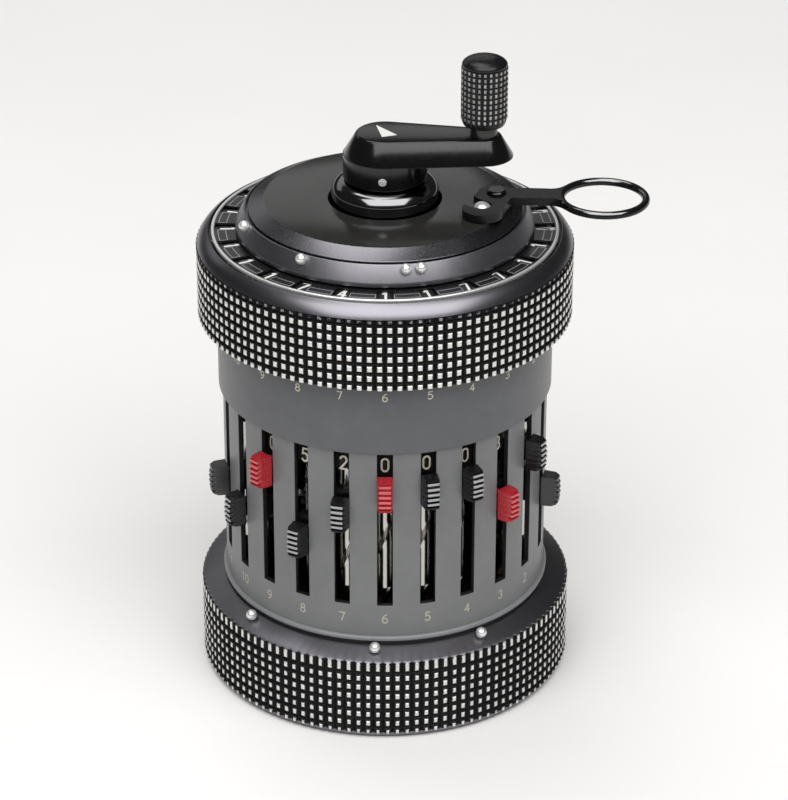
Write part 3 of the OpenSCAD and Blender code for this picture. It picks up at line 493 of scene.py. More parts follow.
# The buttons' worn colours are lighter than their plastic: worn places, and along the ridges' tops also a
# painted highlight
black_plastic = surface("black_plastic", (0.009, 0.009, 0.010), 0.28, bump_mm=0.004, gloss=0.3,
                        worn_and_lit=(0.38, 0.385, 0.40), worn_metal=0.0)
grey_button = surface("grey_button", (0.034, 0.033, 0.033), 0.34, bump_mm=0.004, worn_and_lit=(0.15, 0.15, 0.15),
                      worn_metal=0.0)
red_button = surface("red_button", (0.40, 0.018, 0.026), 0.24, bump_mm=0.004, worn_and_lit=(0.62, 0.11, 0.12),
                     worn_metal=0.0)
bright_steel = surface("bright_steel", (0.70, 0.69, 0.67), 0.24, metal=1.0, vary=0.08, grain_mm=0.2,
                       stretch=ROUND)
shaft_steel = surface("shaft_steel", (0.52, 0.51, 0.48), 0.18, metal=1.0, vary=0.04, rough_vary=0.02,
                      grain_mm=0.6, bump_mm=0.0)
dark_steel = surface("dark_steel", (0.06, 0.06, 0.06), 0.35, metal=1.0, vary=0.1, grain_mm=0.4)
aluminium = surface("aluminium", (0.74, 0.74, 0.73), 0.36, metal=1.0, vary=0.07, grain_mm=0.2, stretch=ROUND)
brass = surface("brass", (0.72, 0.53, 0.26), 0.34, metal=1.0, vary=0.1, grain_mm=0.2, stretch=ROUND)
# Brass darkened for the lower bearing plate seen down the slots: painted shade
brass_painted_shade = surface("brass_painted_shade", (0.15, 0.11, 0.06), 0.42, metal=1.0, vary=0.15, grain_mm=0.3)
bead_metal = surface("bead_metal", (0.88, 0.88, 0.87), 0.34, metal=0.7, vary=0.04, rough_vary=0.04,
                     bump_mm=0.0008)
black_dial = surface("black_dial", (0.022, 0.022, 0.023), 0.5, bump_mm=0.006)
light_dial = surface("light_dial", (0.60, 0.60, 0.585), 0.42, grain_mm=0.25, dust=0.05)
# Near-black for painted shade inside the tube, collar, carriage core and slides, and on the masks beside the
# figures; a painted shadow in the gap under the flange; also the setting drums' black body
black_and_painted_shade = surface("black_and_painted_shade", (0.008, 0.008, 0.009), 0.6, grain_mm=0.4, bump_mm=0.001)
cream_paint = surface("cream_paint", (0.66, 0.62, 0.50), 0.5, vary=0.1, grain_mm=0.12)
dull_paint = surface("dull_paint", (0.46, 0.44, 0.36), 0.5, vary=0.1, grain_mm=0.12)
white_paint = surface("white_paint", (0.76, 0.76, 0.73), 0.5, vary=0.08, grain_mm=0.12)
dark_paint = surface("dark_paint", (0.03, 0.03, 0.032), 0.5, vary=0.1, grain_mm=0.12)


# Figures, drawn as strokes in a box 0.6 wide and 1 high

ROUND_TOP = arc(0.3, 0.72, 0.3, 0.28, 0, 180)
ROUND_FOOT = arc(0.3, 0.28, 0.3, 0.28, 180, 360)
FIGURES = {
    "0": [ROUND_TOP + ROUND_FOOT + ROUND_TOP[:1]],
    "1": [[(0.36, 0), (0.36, 1)], [(0.36, 1), (0.14, 0.8)]],
    "2": [arc(0.3, 0.72, 0.29, 0.28, 165, -35) + [(0, 0), (0.6, 0)]],
    "3": [arc(0.28, 0.76, 0.27, 0.24, 150, -90) + arc(0.28, 0.27, 0.31, 0.27, 90, -150)],
    "4": [[(0.44, 0), (0.44, 1), (0, 0.3), (0.6, 0.3)]],
    "5": [[(0.55, 1), (0.1, 1), (0.06, 0.58)] + arc(0.27, 0.32, 0.32, 0.32, 118, -145)],
    "6": [arc(0.3, 0.3, 0.29, 0.3, 90, 450, 15), arc(0.52, 0.38, 0.51, 0.62, 90, 180, 6)],
    "7": [[(0, 1), (0.58, 1), (0.2, 0)]],
    "8": [arc(0.3, 0.76, 0.24, 0.24, 90, 450, 13), arc(0.3, 0.27, 0.3, 0.27, 90, 450, 13)],
    "9": [arc(0.3, 0.7, 0.29, 0.3, -90, 270, 15), arc(0.08, 0.62, 0.51, 0.62, -90, 0, 6)],
}
FIGURE_W = 0.6
FIGURE_GAP = 0.32
LONGEST_STEP = 0.35
STROKE_END = 0.35
SHARPEST_MITRE = 0.55


def stroke(shape, points, width, thickness, place, look=0):
    """A raised bar that follows points. place maps (x, y, height) to a point of the piece."""
    path = [Vector(points[0])]
    for end in points[1:]:
        start, end = path[-1], Vector(end)
        parts = max(1, math.ceil((end - start).length / LONGEST_STEP))
        path += [start.lerp(end, (i + 1) / parts) for i in range(parts)]
    rows = []
    for i, here in enumerate(path):
        before = (here - path[i - 1]).normalized() if i else (path[1] - here).normalized()
        after = (path[i + 1] - here).normalized() if i < len(path) - 1 else before
        along = (before + after).normalized() if (before + after).length > 0.2 else after
        side = Vector((-along.y, along.x)) * (width / 2 / max(SHARPEST_MITRE, along.dot(after)))
        if i in (0, len(path) - 1):
            here = here + along * (width * (STROKE_END if i else -STROKE_END))
        left, right = here + side, here - side
        rows.append([place(*left, -thickness), place(*left, thickness),
                     place(*right, thickness), place(*right, -thickness)])
    shape.rings(rows, look, caps=True)


def letters(shape, text, height, width, place, look=0, thickness=0.03, slim=1.0):
    """Figures centred on the middle of a place, with strokes of a width."""
    advance = FIGURE_W * height * slim + FIGURE_GAP * height * slim
    left = -(advance * (len(text) - 1) + FIGURE_W * height * slim) / 2
    for number, figure in enumerate(text):
        for points in FIGURES[figure]:
            moved = [(left + number * advance + x * height * slim, (y - 0.5) * height) for x, y in points]
            stroke(shape, moved, width, thickness, place, look)


def on_wall(radius, azimuth, z, centre=(0, 0)):
    """Place on an upright round wall, with the figure's foot down."""
    def place(x, y, height):
        px, py, pz = polar(radius + height, azimuth + math.degrees(x / radius), z + y)
        return (px + centre[0], py + centre[1], pz)
    return place


def on_barrel(azimuth, middle_r, axis_z, barrel_r, roll):
    """Place on a dial's barrel, with the figure's head towards the carriage's axis."""
    out = Vector(polar(1, azimuth, 0))
    across = Vector(polar(1, azimuth + 90, 0))

    def place(x, y, height):
        angle = x / barrel_r + math.radians(roll)
        lift = Vector((0, 0, math.cos(angle))) + across * math.sin(angle)
        return tuple(out * (middle_r - y) + Vector((0, 0, axis_z)) + lift * (barrel_r + height))
    return place


# Base ring

BASE_KNURL_COLUMNS = 122
BASE_KNURL_PHASE = 0.82
KNURL_DEPTH = 0.5
KNURL_SHARE = 0.32
BASE_SHARE = 0.2
TIP_ROWS = 6
BASE_PITCH = 1.83
BASE_TIP = 0.66
BASE_FIRST_TIP = 2.9
BASE_LOW_TIP = (0.95, 1.5, 0.9)
BASE_HIGH_TIP = (13.7, 14.9, 1.0)
BASE_EDGE_Z = 15.12
SLOPE_LOW_Z = 15.4


def base_ring():
    tips = tip_rows(BASE_FIRST_TIP, BASE_PITCH, BASE_TIP, TIP_ROWS)
    tips = [BASE_LOW_TIP] + tips + [BASE_HIGH_TIP]
    root_r = BASE_R - KNURL_DEPTH
    inner_r = FOOT_R - 0.48
    ledge_z = node_box("housing_tube")[0].z
    cover_r = node_box("base_cover")[1].x + 0.1
    cover_t = node_box("base_cover")[1].z
    wall_r = TUBE_R - 2.5
    rows = plain_rows([(wall_r, ledge_z), (wall_r, cover_t), (cover_r, cover_t), (cover_r, 0.0)])
    rows += plain_rows([(root_r - 0.5, 0.0), (root_r - 0.1, 0.25), (root_r, 0.7)])
    rows += knurl_rows(BASE_R, KNURL_DEPTH, tips)
    rows.append((root_r, BASE_EDGE_Z, BASE_R - 0.12, 0.8, 0))
    rows += plain_rows([(root_r - 0.06, SLOPE_LOW_Z), (FOOT_R + 0.16, BASE_TOP - 0.1),
                        (FOOT_R - 0.05, BASE_TOP - 0.04), (inner_r, BASE_TOP - 0.04), (inner_r, ledge_z)])
    shape = Shape()
    knurled(shape, rows, BASE_KNURL_COLUMNS, BASE_KNURL_PHASE, BASE_SHARE)
    piece("base_ring_knurled", shape, [slope_satin, black_knurl], "housing", ("base_ring",))


# Slotted tube and collar

def tube():
    def without_flange(form):
        """Takes the flange's flat faces away first, so that none of them is left across the bore."""
        form.normal_update()
        flange_r = (TUBE_R + 0.2) * MM
        ledges = [f for f in form.faces
                  if abs(f.normal.z) > 0.9 and max(v.co.xy.length for v in f.verts) > flange_r]
        bmesh.ops.delete(form, geom=ledges, context="FACES_ONLY")
        for vert in form.verts:
            if vert.co.xy.length > flange_r:
                vert.co.xy *= TUBE_R * MM / vert.co.xy.length
        simplified(form, 0.004)

    # Faces inside the bore get the near-black: painted shade on the tube's inner wall
    def choose(middle, _):
        return 1 if middle.xy.length < TUBE_R - 0.25 else 0
    dressed("housing_tube", [grey_paint, black_and_painted_shade], 0.14, choose, without_flange)
    flange = Shape()
    inner_r = TUBE_R - 0.2
    flange_low = BASE_TOP + 0.62
    flange_top = BASE_TOP + 1.46
    turned(flange, rounded([(inner_r, flange_low, 0), (FOOT_R + 0.04, flange_low, 0.26),
                            (FOOT_R + 0.04, flange_top, 0.42), (inner_r, flange_top, 0)], 7))
    # A near-black ring in the undercut under the flange: painted shadow in the gap
    turned(flange, [(inner_r, BASE_TOP - 0.1), (TUBE_R + 0.2, BASE_TOP - 0.1),
                    (TUBE_R + 0.2, flange_low + 0.1), (inner_r, flange_low + 0.1)], 1)
    piece("tube_flange", flange, [grey_paint_lit, black_and_painted_shade], "housing")


def collar():
    # Inner faces get the near-black: painted shade inside the collar
    def choose(middle, _):
        return 0 if middle.xy.length > COLLAR_R - 0.5 else 1
    dressed("upper_collar", [grey_paint_shaded, black_and_painted_shade], 0.16, choose)


TUBE_FIGURE_Z = 21.45
COLLAR_FIGURE_Z = 64.75


def body_figures():
    shape = Shape()
    for number in range(1, SLIDERS + 1):
        azimuth = place_azimuth(number - 1)
        letters(shape, str(number), 1.6, 0.21, on_wall(TUBE_R, azimuth, TUBE_FIGURE_Z), 0, slim=0.92)
        letters(shape, str(number), 1.35, 0.2, on_wall(COLLAR_R, azimuth, COLLAR_FIGURE_Z), 1)
    piece("place_figures", shape, [dull_paint, cream_paint], "housing")


# Carriage

CARRIAGE_KNURL_COLUMNS = 121
CARRIAGE_KNURL_PHASE = 1.41
CARRIAGE_PITCH = 1.775
CARRIAGE_TIP = 0.74
CARRIAGE_FIRST_TIP = 69.8
CARRIAGE_LOW_TIP = (67.7, 68.35, 1.0)
# The top row of tips has a lower wear, so that its tips stay darker: painted shade on the row under the rim
CARRIAGE_HIGH_TIP = (79.95, 80.4, 0.74)
RIM_LOW_Z = 80.7
RIM_R = 5.01
RIM_MIDDLE_R = 27.81
RIM_MIDDLE_DOWN = 4.55
RIM_IN_R = 30.34


def carriage_shell():
    inner_low_r = COLLAR_R + 0.3
    inner_r = WINDOW_R + 0.02
    inner_z = node_box("upper_collar")[1].z + 0.3
    root_r = SHELL_R - KNURL_DEPTH
    tips = tip_rows(CARRIAGE_FIRST_TIP, CARRIAGE_PITCH, CARRIAGE_TIP, TIP_ROWS)
    tips = [CARRIAGE_LOW_TIP] + tips + [CARRIAGE_HIGH_TIP]
    rows = plain_rows([(inner_r, inner_z), (inner_low_r, inner_z), (inner_low_r, SHELL_LOW),
                       (root_r - 0.3, SHELL_LOW), (root_r, SHELL_LOW + 0.25)])
    rows += knurl_rows(SHELL_R, KNURL_DEPTH, tips)
    rim = arc(RIM_MIDDLE_R, SHELL_TOP - RIM_MIDDLE_DOWN, RIM_R, RIM_R, 25, 58, 12)
    rows += plain_rows([(root_r, RIM_LOW_Z)] + rim, 2)
    rows += plain_rows([(RIM_IN_R + 0.04, SHELL_TOP - 0.32), (RIM_IN_R, SHELL_TOP - 0.4),
                        (RIM_IN_R, SHELL_TOP - 1.0), (inner_r, SHELL_TOP - 1.0)])
    shape = Shape()
    knurled(shape, rows, CARRIAGE_KNURL_COLUMNS, CARRIAGE_KNURL_PHASE, KNURL_SHARE)
    piece("carriage_shell", shape, [black_satin, black_knurl, rim_gloss], "carriage",
          ("carriage_body",))


PANEL_IN_R = 24.42
PANEL_PARTS = 5
WINDOW_LOW_R = 25.75
WINDOW_HIGH_R = 29.25
WINDOW_DEG = 5.7
FRAME_LOW_R = 27.3
FRAME_HIGH_R = 28.65
FRAME_HALF = 2.15
FRAME_W = 0.14
FRAME_H = 0.04


def window_ring():
    low_z, high_z, edge_z = WINDOW_TOP - 0.75, WINDOW_TOP - 0.4, WINDOW_TOP - 0.18
    radii = [PANEL_IN_R, WINDOW_LOW_R, WINDOW_HIGH_R, WINDOW_R - 0.3]
    azimuths, open_after = [], []
    for number in range(-COUNTER_PLACES, RESULT_PLACES + 1):
        edge = place_azimuth(number) + WINDOW_DEG / 2
        azimuths.append(edge)
        open_after.append(number < RESULT_PLACES)
        azimuths += spread(edge - WINDOW_DEG, edge - PITCH_DEG, PANEL_PARTS + 1)[:-1]
        open_after += [False] * PANEL_PARTS
    count = len(azimuths)
    outline = [(r, az) for az in azimuths for r in radii]
    across = len(radii)
    faces = []
    for i in range(count):
        for k in range(across - 1):
            if not (open_after[i] and k == 1):
                a, b = i * across + k, (i + 1) % count * across + k
                faces.append([a, a + 1, b + 1, b])
    shape = Shape()
    shape.slab(outline, faces, lambda p: polar(p[0], p[1], low_z), lambda p: polar(p[0], p[1], high_z))
    edge_in_r, edge_r = WINDOW_R - 0.58, WINDOW_R - 0.03
    turned(shape, rounded([(edge_in_r, low_z, 0), (edge_r, low_z, 0), (edge_r, edge_z, 0.16),
                           (edge_in_r, edge_z, 0.16)]), 1)
    corners = [(-FRAME_HALF, FRAME_LOW_R), (FRAME_HALF, FRAME_LOW_R), (FRAME_HALF, FRAME_HIGH_R),
               (-FRAME_HALF, FRAME_HIGH_R), (-FRAME_HALF, FRAME_LOW_R)]
    for number in range(-COUNTER_PLACES, RESULT_PLACES):
        middle = place_azimuth(number + 0.5)

        def on_panel(x, y, height):
            return polar(y, middle + math.degrees(x / FRAME_HIGH_R), high_z + height)
        stroke(shape, corners, FRAME_W, FRAME_H, on_panel, 2)
    looks = [panel_black, bead_metal, panel_frame]
    piece("window_panels", shape, looks, "carriage", ("window_ring",))


DIAL_R = 2.6
DIAL_MIDDLE_R = 26.9
DIAL_AXIS_Z = node_box("result_dials")[1].z - DIAL_R
MASK_OPEN_DEG = 17
DIAL_MASK_END_DEG = 62
# Section of a dial's mask: place along the dial, distance from its barrel
DIAL_MASK = [(-2.2, 0.06), (1.4, 0.06), (1.4, 0.12), (-2.2, 0.12)]


def dial_figures():
    for name, kind, figures, first, step in (
            ("result_figures", white_paint, RESULT_FIGURES, FIRST_AZ, -PITCH_DEG),
            ("counter_figures", dark_paint, COUNTER_FIGURES, FIRST_AZ + PITCH_DEG, PITCH_DEG)):
        shape = Shape()
        for number, shown in enumerate(figures):
            for figure in range(10):
                roll = DIGIT_DEG * (figure - shown)
                place = on_barrel(first + step * number, DIAL_MIDDLE_R, DIAL_AXIS_Z, DIAL_R, roll)
                letters(shape, str(figure), 2.5, 0.42, place, slim=0.8)
        piece(name, shape, [kind], "carriage")


def dial_masks():
    """Black curved strips on both sides of each shown figure: painted shade that hides its neighbours on the
    dial.
    """
    shape = Shape()
    for number in range(-COUNTER_PLACES, RESULT_PLACES):
        azimuth = place_azimuth(number)
        for side in (-1, 1):
            rows = []
            for roll in spread(MASK_OPEN_DEG, DIAL_MASK_END_DEG, 7):
                place = on_barrel(azimuth, DIAL_MIDDLE_R, DIAL_AXIS_Z, DIAL_R, side * roll)
                rows.append([place(0, y, h) for y, h in DIAL_MASK])
            shape.rings(rows, caps=True)
    piece("dial_masks", shape, [black_and_painted_shade], "carriage")


DECIMAL_LOW_Z = 83.2
DECIMAL_EDGE_Z = 84.0
DECIMAL_R = 25.6
DECIMAL_TOP_R = 24.15
DECIMAL_IN_R = 22.2


def decimal_ring():
    lip_r, top_z, floor_z = PLATE_R + 0.37, PLATE_LOW + 0.35, PLATE_LOW - 0.28
    foot_z = DECIMAL_LOW_Z + 0.02
    # The core below the windows is all near-black: painted shade inside the carriage
    dressed("carriage_core", [black_and_painted_shade],
            change=lambda form: cut_above(form, DECIMAL_LOW_Z))
    shape = Shape()
    turned(shape, rounded([(DECIMAL_IN_R, foot_z, 0), (DECIMAL_R, foot_z, 0.1),
                           (DECIMAL_R, DECIMAL_EDGE_Z, 0.3), (DECIMAL_TOP_R, top_z, 0.14),
                           (lip_r, top_z, 0.1), (lip_r, floor_z, 0), (DECIMAL_IN_R, floor_z, 0)]))
    piece("decimal_ring", shape, [ring_satin], "carriage")


BALL_R = 0.97
CARRIAGE_BALL_OUT = 0.35
CARRIAGE_BALL_DOWN = 0.35


def beads():
    for node in ["base_bead_1", "base_bead_2", "base_bead_3",
                 "carriage_bead_1", "carriage_bead_2", "carriage_bead_3", "carriage_bead_4"]:
        low, high = node_box(node)
        middle = Vector(((low.x + high.x) / 2, (low.y + high.y) / 2))
        ball_z = high.z - (high.x - low.x) / 2
        if node.startswith("carriage"):
            middle *= 1 + CARRIAGE_BALL_OUT / middle.length
            ball_z -= CARRIAGE_BALL_DOWN
        outline = arc(0, ball_z, BALL_R, BALL_R, 89, -89, 24)
        shape = Shape()
        turned(shape, outline, steps=40, centre=tuple(middle), wrap=False, caps=True)
        piece(node + "_ball", shape, [bead_metal], node, (node,))


# Cover, clearing lever and hub collar

STUD = (16.376, -6.7)
STUD_R = 1.55
STUD_SIDE_H = 0.75
STUD_DOME_H = 1.25
BRIGHT_SCREW_Y = -3.5


def cover():
    bore_r = HUB_R + 0.3
    edge_z = PLATE_LOW + 0.6
    top_r = PLATE_R - 2.7
    plate = Shape()
    flat = rounded([(bore_r, PLATE_LOW, 0), (PLATE_R - 0.1, PLATE_LOW, 0), (PLATE_R, PLATE_LOW + 0.1, 0),
                    (PLATE_R, edge_z, 0.12)])
    flat += [(top_r + 0.06, PLATE_TOP - 0.03), (top_r - 0.06, PLATE_TOP), (bore_r + 0.1, PLATE_TOP),
             (bore_r, PLATE_TOP - 0.1)]
    turned(plate, flat, [1 if z < PLATE_TOP and r > top_r else 0 for r, z in flat])
    looks = [black_gloss, bevel_gloss]
    piece("cover_plate", plate, looks, "clearing", ("clearing_plate",))

    # Bevel faces tilted upwards get a lighter, glossier metal than the lever: a painted highlight along its
    # edges
    def bent(_, normal):
        return 1 if 0.25 < normal.z < 0.92 else 0
    dressed("clearing_lever", [lever_black, collar_gloss], 0.38, bent)

    def choose(middle, _):
        return 1 if middle.y < BRIGHT_SCREW_Y else 0
    dressed("lever_screws", [crank_gloss, bright_steel], 0.12, choose)
    dome = arc(0, PLATE_TOP + STUD_SIDE_H, STUD_R, STUD_DOME_H, 0, 88)
    shape = Shape()
    turned(shape, [(STUD_R, PLATE_TOP + 0.02)] + dome, steps=48, centre=STUD, wrap=False, caps=True)
    body = frame["nodes"]["lever_screws"]["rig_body"]
    piece("stop_stud_dome", shape, [bead_metal], body)


HUB_WALL = 2.42
HUB_NECK_R = 6.6
HUB_NECK_H = 1.5
HUB_BEND_R = 2.55


def hub_collar():
    inner_r = node_box("main_shaft")[1].x + HUB_WALL
    flare_z = HUB_LOW + HUB_NECK_H
    bend = arc(HUB_R - 0.15 - HUB_BEND_R, HUB_TOP - HUB_BEND_R, HUB_BEND_R, HUB_BEND_R, 15, 90, 16)
    side_r, side_top = bend[0]
    outline = [(inner_r, HUB_LOW), (HUB_NECK_R, HUB_LOW), (HUB_NECK_R, flare_z), (side_r - 0.15, flare_z),
               (side_r, flare_z + 0.15), (side_r, side_top - 0.04)]
    outline += bend + [(inner_r, HUB_TOP)]
    shape = Shape()
    turned(shape, outline)
    piece("hub_collar_round", shape, [collar_gloss], "housing", ("hub_collar",))


# Crank

ARM_TURN = -3.4
THROW = 16.7
ARM_HEIGHT = 3.9
CRANK_HUB_R = 7.2
CRANK_TIP_R = 5.2
ARM_DRAFT = 2.3
ARM_EDGE = 0.35


def arm_outline(hub_r, tip_r, z, steps=28):
    """Outline round the hub's circle and the tip's circle, joined by their common tangents."""
    lean = math.degrees(math.acos((hub_r - tip_r) / THROW))
    points = arc(0, 0, hub_r, hub_r, lean, 360 - lean, steps)
    points += arc(THROW, 0, tip_r, tip_r, -lean, lean, steps // 2)
    turn = math.radians(ARM_TURN)
    return [(x * math.cos(turn) - y * math.sin(turn), x * math.sin(turn) + y * math.cos(turn), z)
            for x, y in points]


ARROW = [(-1.53, 3.00), (2.02, -1.41), (-0.51, -2.28)]


def crank_arm():
    low_z = ARM_TOP - ARM_HEIGHT
    levels = [(0.0, -0.25), (0.08, -0.08), (0.25, 0.0)]
    for bend in [math.radians(t) for t in spread(0, 85, 6)]:
        levels.append((ARM_HEIGHT - ARM_EDGE + ARM_EDGE * math.sin(bend), ARM_EDGE * (math.cos(bend) - 1)))
    rows = []
    for height, inset in levels:
        draft = ARM_DRAFT * height / ARM_HEIGHT
        rows.append(arm_outline(CRANK_HUB_R - draft + inset, CRANK_TIP_R - draft + inset, low_z + height))
    shape = Shape()
    shape.rings(rows, caps=True)
    bore_r = node_box("main_shaft")[1].x + 0.02
    turned(shape, rounded([(bore_r, ARM_LOW, 0), (CRANK_HUB_R - 0.02, ARM_LOW, 0.3),
                           (CRANK_HUB_R - 0.02, low_z + 0.1, 0), (bore_r, low_z + 0.1, 0)]))
    piece("crank_arm_smooth", shape, [crank_gloss], "crank", ("crank_arm",))
    arrow = Shape()
    arrow.slab(ARROW, [[0, 2, 1]], lambda p: (*p, ARM_TOP - 0.05), lambda p: (*p, ARM_TOP + 0.03))
    piece("crank_arrow", arrow, [white_paint], "crank")


KNOB_COLUMNS = 25
KNOB_PITCH = 0.95
KNOB_TIP = 0.5
KNOB_WEAR = 0.86
KNOB_DEPTH = 0.3
KNOB_DOME_H = 1.2
KNOB_BORE_R = 1.55
KNOB_BORE_DOWN = 3.6


def crank_knob():
    centre = ((KNOB_LOW.x + KNOB_HIGH.x) / 2, (KNOB_LOW.y + KNOB_HIGH.y) / 2)
    radius = (KNOB_HIGH.x - KNOB_LOW.x) / 2
    low, top = KNOB_LOW.z, KNOB_HIGH.z
    root_r = radius - KNOB_DEPTH
    first = top - KNOB_DOME_H - 0.5
    count = int((first - KNOB_TIP - low - 0.7) / KNOB_PITCH) + 1
    heads = [first - KNOB_PITCH * i for i in reversed(range(count))]
    tips = [(head - KNOB_TIP, head, KNOB_WEAR) for head in heads]
    bore_top = top - KNOB_BORE_DOWN
    rows = plain_rows([(0.05, bore_top), (KNOB_BORE_R, bore_top), (KNOB_BORE_R, low), (root_r - 0.6, low),
                       (root_r - 0.15, low + 0.2), (root_r, low + 0.5)])
    rows += knurl_rows(radius, KNOB_DEPTH, tips)
    rows += plain_rows([(root_r, first + 0.12), (radius - 0.14, first + 0.26)])
    bends = [math.radians(t) for t in spread(0, 89, 13)]
    dome = [((radius - 0.1) * math.cos(t) ** 0.6, top - KNOB_DOME_H + KNOB_DOME_H * math.sin(t) ** 1.3)
            for t in bends]
    rows += plain_rows(dome)
    shape = Shape()
    knurled(shape, rows, KNOB_COLUMNS, 0, KNURL_SHARE, centre, wrap=False, caps=True)
    piece("crank_knob_knurled", shape, [knob_black, knob_knurl], "crank_knob",
          ("crank_knob",))


# Setting slides and shafts

BUTTON_W = 2.85
BUTTON_H = 5.7
BUTTON_DROP = 0.8
BLOCK_H = 5.0
BUTTON_OUT = 3.4
RIDGES = 5
NECK_W = 1.3
NECK_IN_R = 26.7
NECK_HALF_H = 1.6
BUTTON_FACE_W = 2.2
BUTTON_CROWN = 0.3
FOOT_BEND_R = 0.8
HEAD_BEND_R = 0.55
SIDE_BEND_R = 0.28
RIDGE_PITCH = 0.96
# A ridge from groove to groove: place along the pitch, depth below the top, wear (finger wear, and a painted
# highlight on the ridge's top)
RIDGE = [(0.0, 0.45, 0.0), (0.14, 0.42, 0.0), (0.24, 0.14, 0.5), (0.36, 0.03, 0.95), (0.55, 0.0, 1.0),
         (0.72, 0.05, 0.95), (0.84, 0.2, 0.5), (0.94, 0.42, 0.0)]


def button_levels():
    """Levels of a button from its foot up, each with its depth below the outer face and its wear, which also
    paints a highlight on the ridges.
    """
    half = BUTTON_H / 2
    levels = []
    for bend in [math.radians(t) for t in spread(0, 80, 5)]:
        levels.append((FOOT_BEND_R * (1 - math.cos(bend)) - half, FOOT_BEND_R * (1 - math.sin(bend)), 0.0))
    start = -half + FOOT_BEND_R
    for ridge in range(RIDGES):
        levels += [(start + RIDGE_PITCH * (ridge + part), dip, worn_and_lit) for part, dip, worn_and_lit in RIDGE]
    for bend in [math.radians(t) for t in spread(60, 0, 4)]:
        levels.append((half - HEAD_BEND_R * (1 - math.cos(bend)), HEAD_BEND_R * (1 - math.sin(bend)), 0.0))
    return sorted(levels)


def button(shape, azimuth, z):
    """Finger button standing on the tube's face, with ridges across its outer face only."""
    inner_r, outer_r, side_r = TUBE_R + 0.3, TUBE_R + BUTTON_OUT, TUBE_R + BUTTON_OUT - 0.9
    rows, wear = [], []
    for height, dip, worn_and_lit in button_levels():
        out = outer_r - dip - BUTTON_CROWN * (2 * height / BUTTON_H) ** 2
        half = BUTTON_FACE_W / 2 - dip * 0.25
        side_out = min(side_r, out - SIDE_BEND_R - 0.05)
        section = [(-BUTTON_W / 2, inner_r), (-BUTTON_FACE_W / 2 - 0.12, side_out)]
        for bend in [math.radians(t) for t in (0, 45, 90)]:
            section.append((-half + SIDE_BEND_R * (1 - math.cos(bend)),
                            out - SIDE_BEND_R * (1 - math.sin(bend))))
        section += [(-x, y) for x, y in reversed(section)]
        rows.append([beside(x, r, azimuth, z + height) for x, r in section])
        # Only the outer face's points carry the ridges' wear: finger wear and a painted highlight on the
        # ridges
        wear += [worn_and_lit if 3 <= i <= 6 else 0.0 for i in range(len(section))]
    start = len(shape.wear)
    shape.rings(rows, caps=True)
    shape.wear[start:] = wear


SLIDER_CUT = 0.5
STEEL_WITHIN_R = 22.4


def sliders():
    looks = {"grey": grey_button, "black": black_plastic, "red": red_button}
    for number in range(1, SLIDERS + 1):
        node = f"slider_{number}"
        azimuth = place_azimuth(number - 1)
        middle_z = node_box(node)[1].z - BLOCK_H / 2 - BUTTON_DROP
        shape = Shape()
        button(shape, azimuth, middle_z)
        half, out_r = NECK_W / 2, TUBE_R + 0.4
        neck = [(-half, NECK_IN_R), (half, NECK_IN_R), (half, out_r), (-half, out_r)]
        rows = [[beside(x, r, azimuth, middle_z + h) for x, r in neck] for h in (-NECK_HALF_H, NECK_HALF_H)]
        shape.rings(rows, caps=True)
        kind = BUTTON_KINDS[number - 1]
        piece(f"button_{number}", shape, [looks[kind]], node)

        def inner_part(form):
            outside = [f for f in form.faces if max(v.co.xy.length for v in f.verts) > (TUBE_R + 0.25) * MM]
            bmesh.ops.delete(form, geom=outside, context="FACES")
            bmesh.ops.holes_fill(form, edges=[e for e in form.edges if len(e.link_faces) == 1])
            cut_above(form, max(v.co.z for v in form.verts) / MM - SLIDER_CUT)

        # The slides' parts inside the tube are near-black, apart from the steel near the axis: painted shade
        def choose(middle, _):
            return 1 if middle.xy.length < STEEL_WITHIN_R else 0
        dressed(node, [black_and_painted_shade, bright_steel], choose=choose, change=inner_part)


SHAFT_R = 1.5
GROOVE_W = 0.9
GROOVE_DEPTH = 0.75
GROOVE_LOW = 26.1
GROOVE_HIGH = 49.1
GROOVE_ZERO_Z = 47.5
DIGIT_STEP = 2.2
JOURNAL_R = 0.9
JOURNAL_H = 1.7
FIGURE_R = 2.8
SETTING_RING_R = 24.35
DRUM_DOWN = 1.7
DRUM_H = 4.2
DRUM_MASK_END_DEG = 70


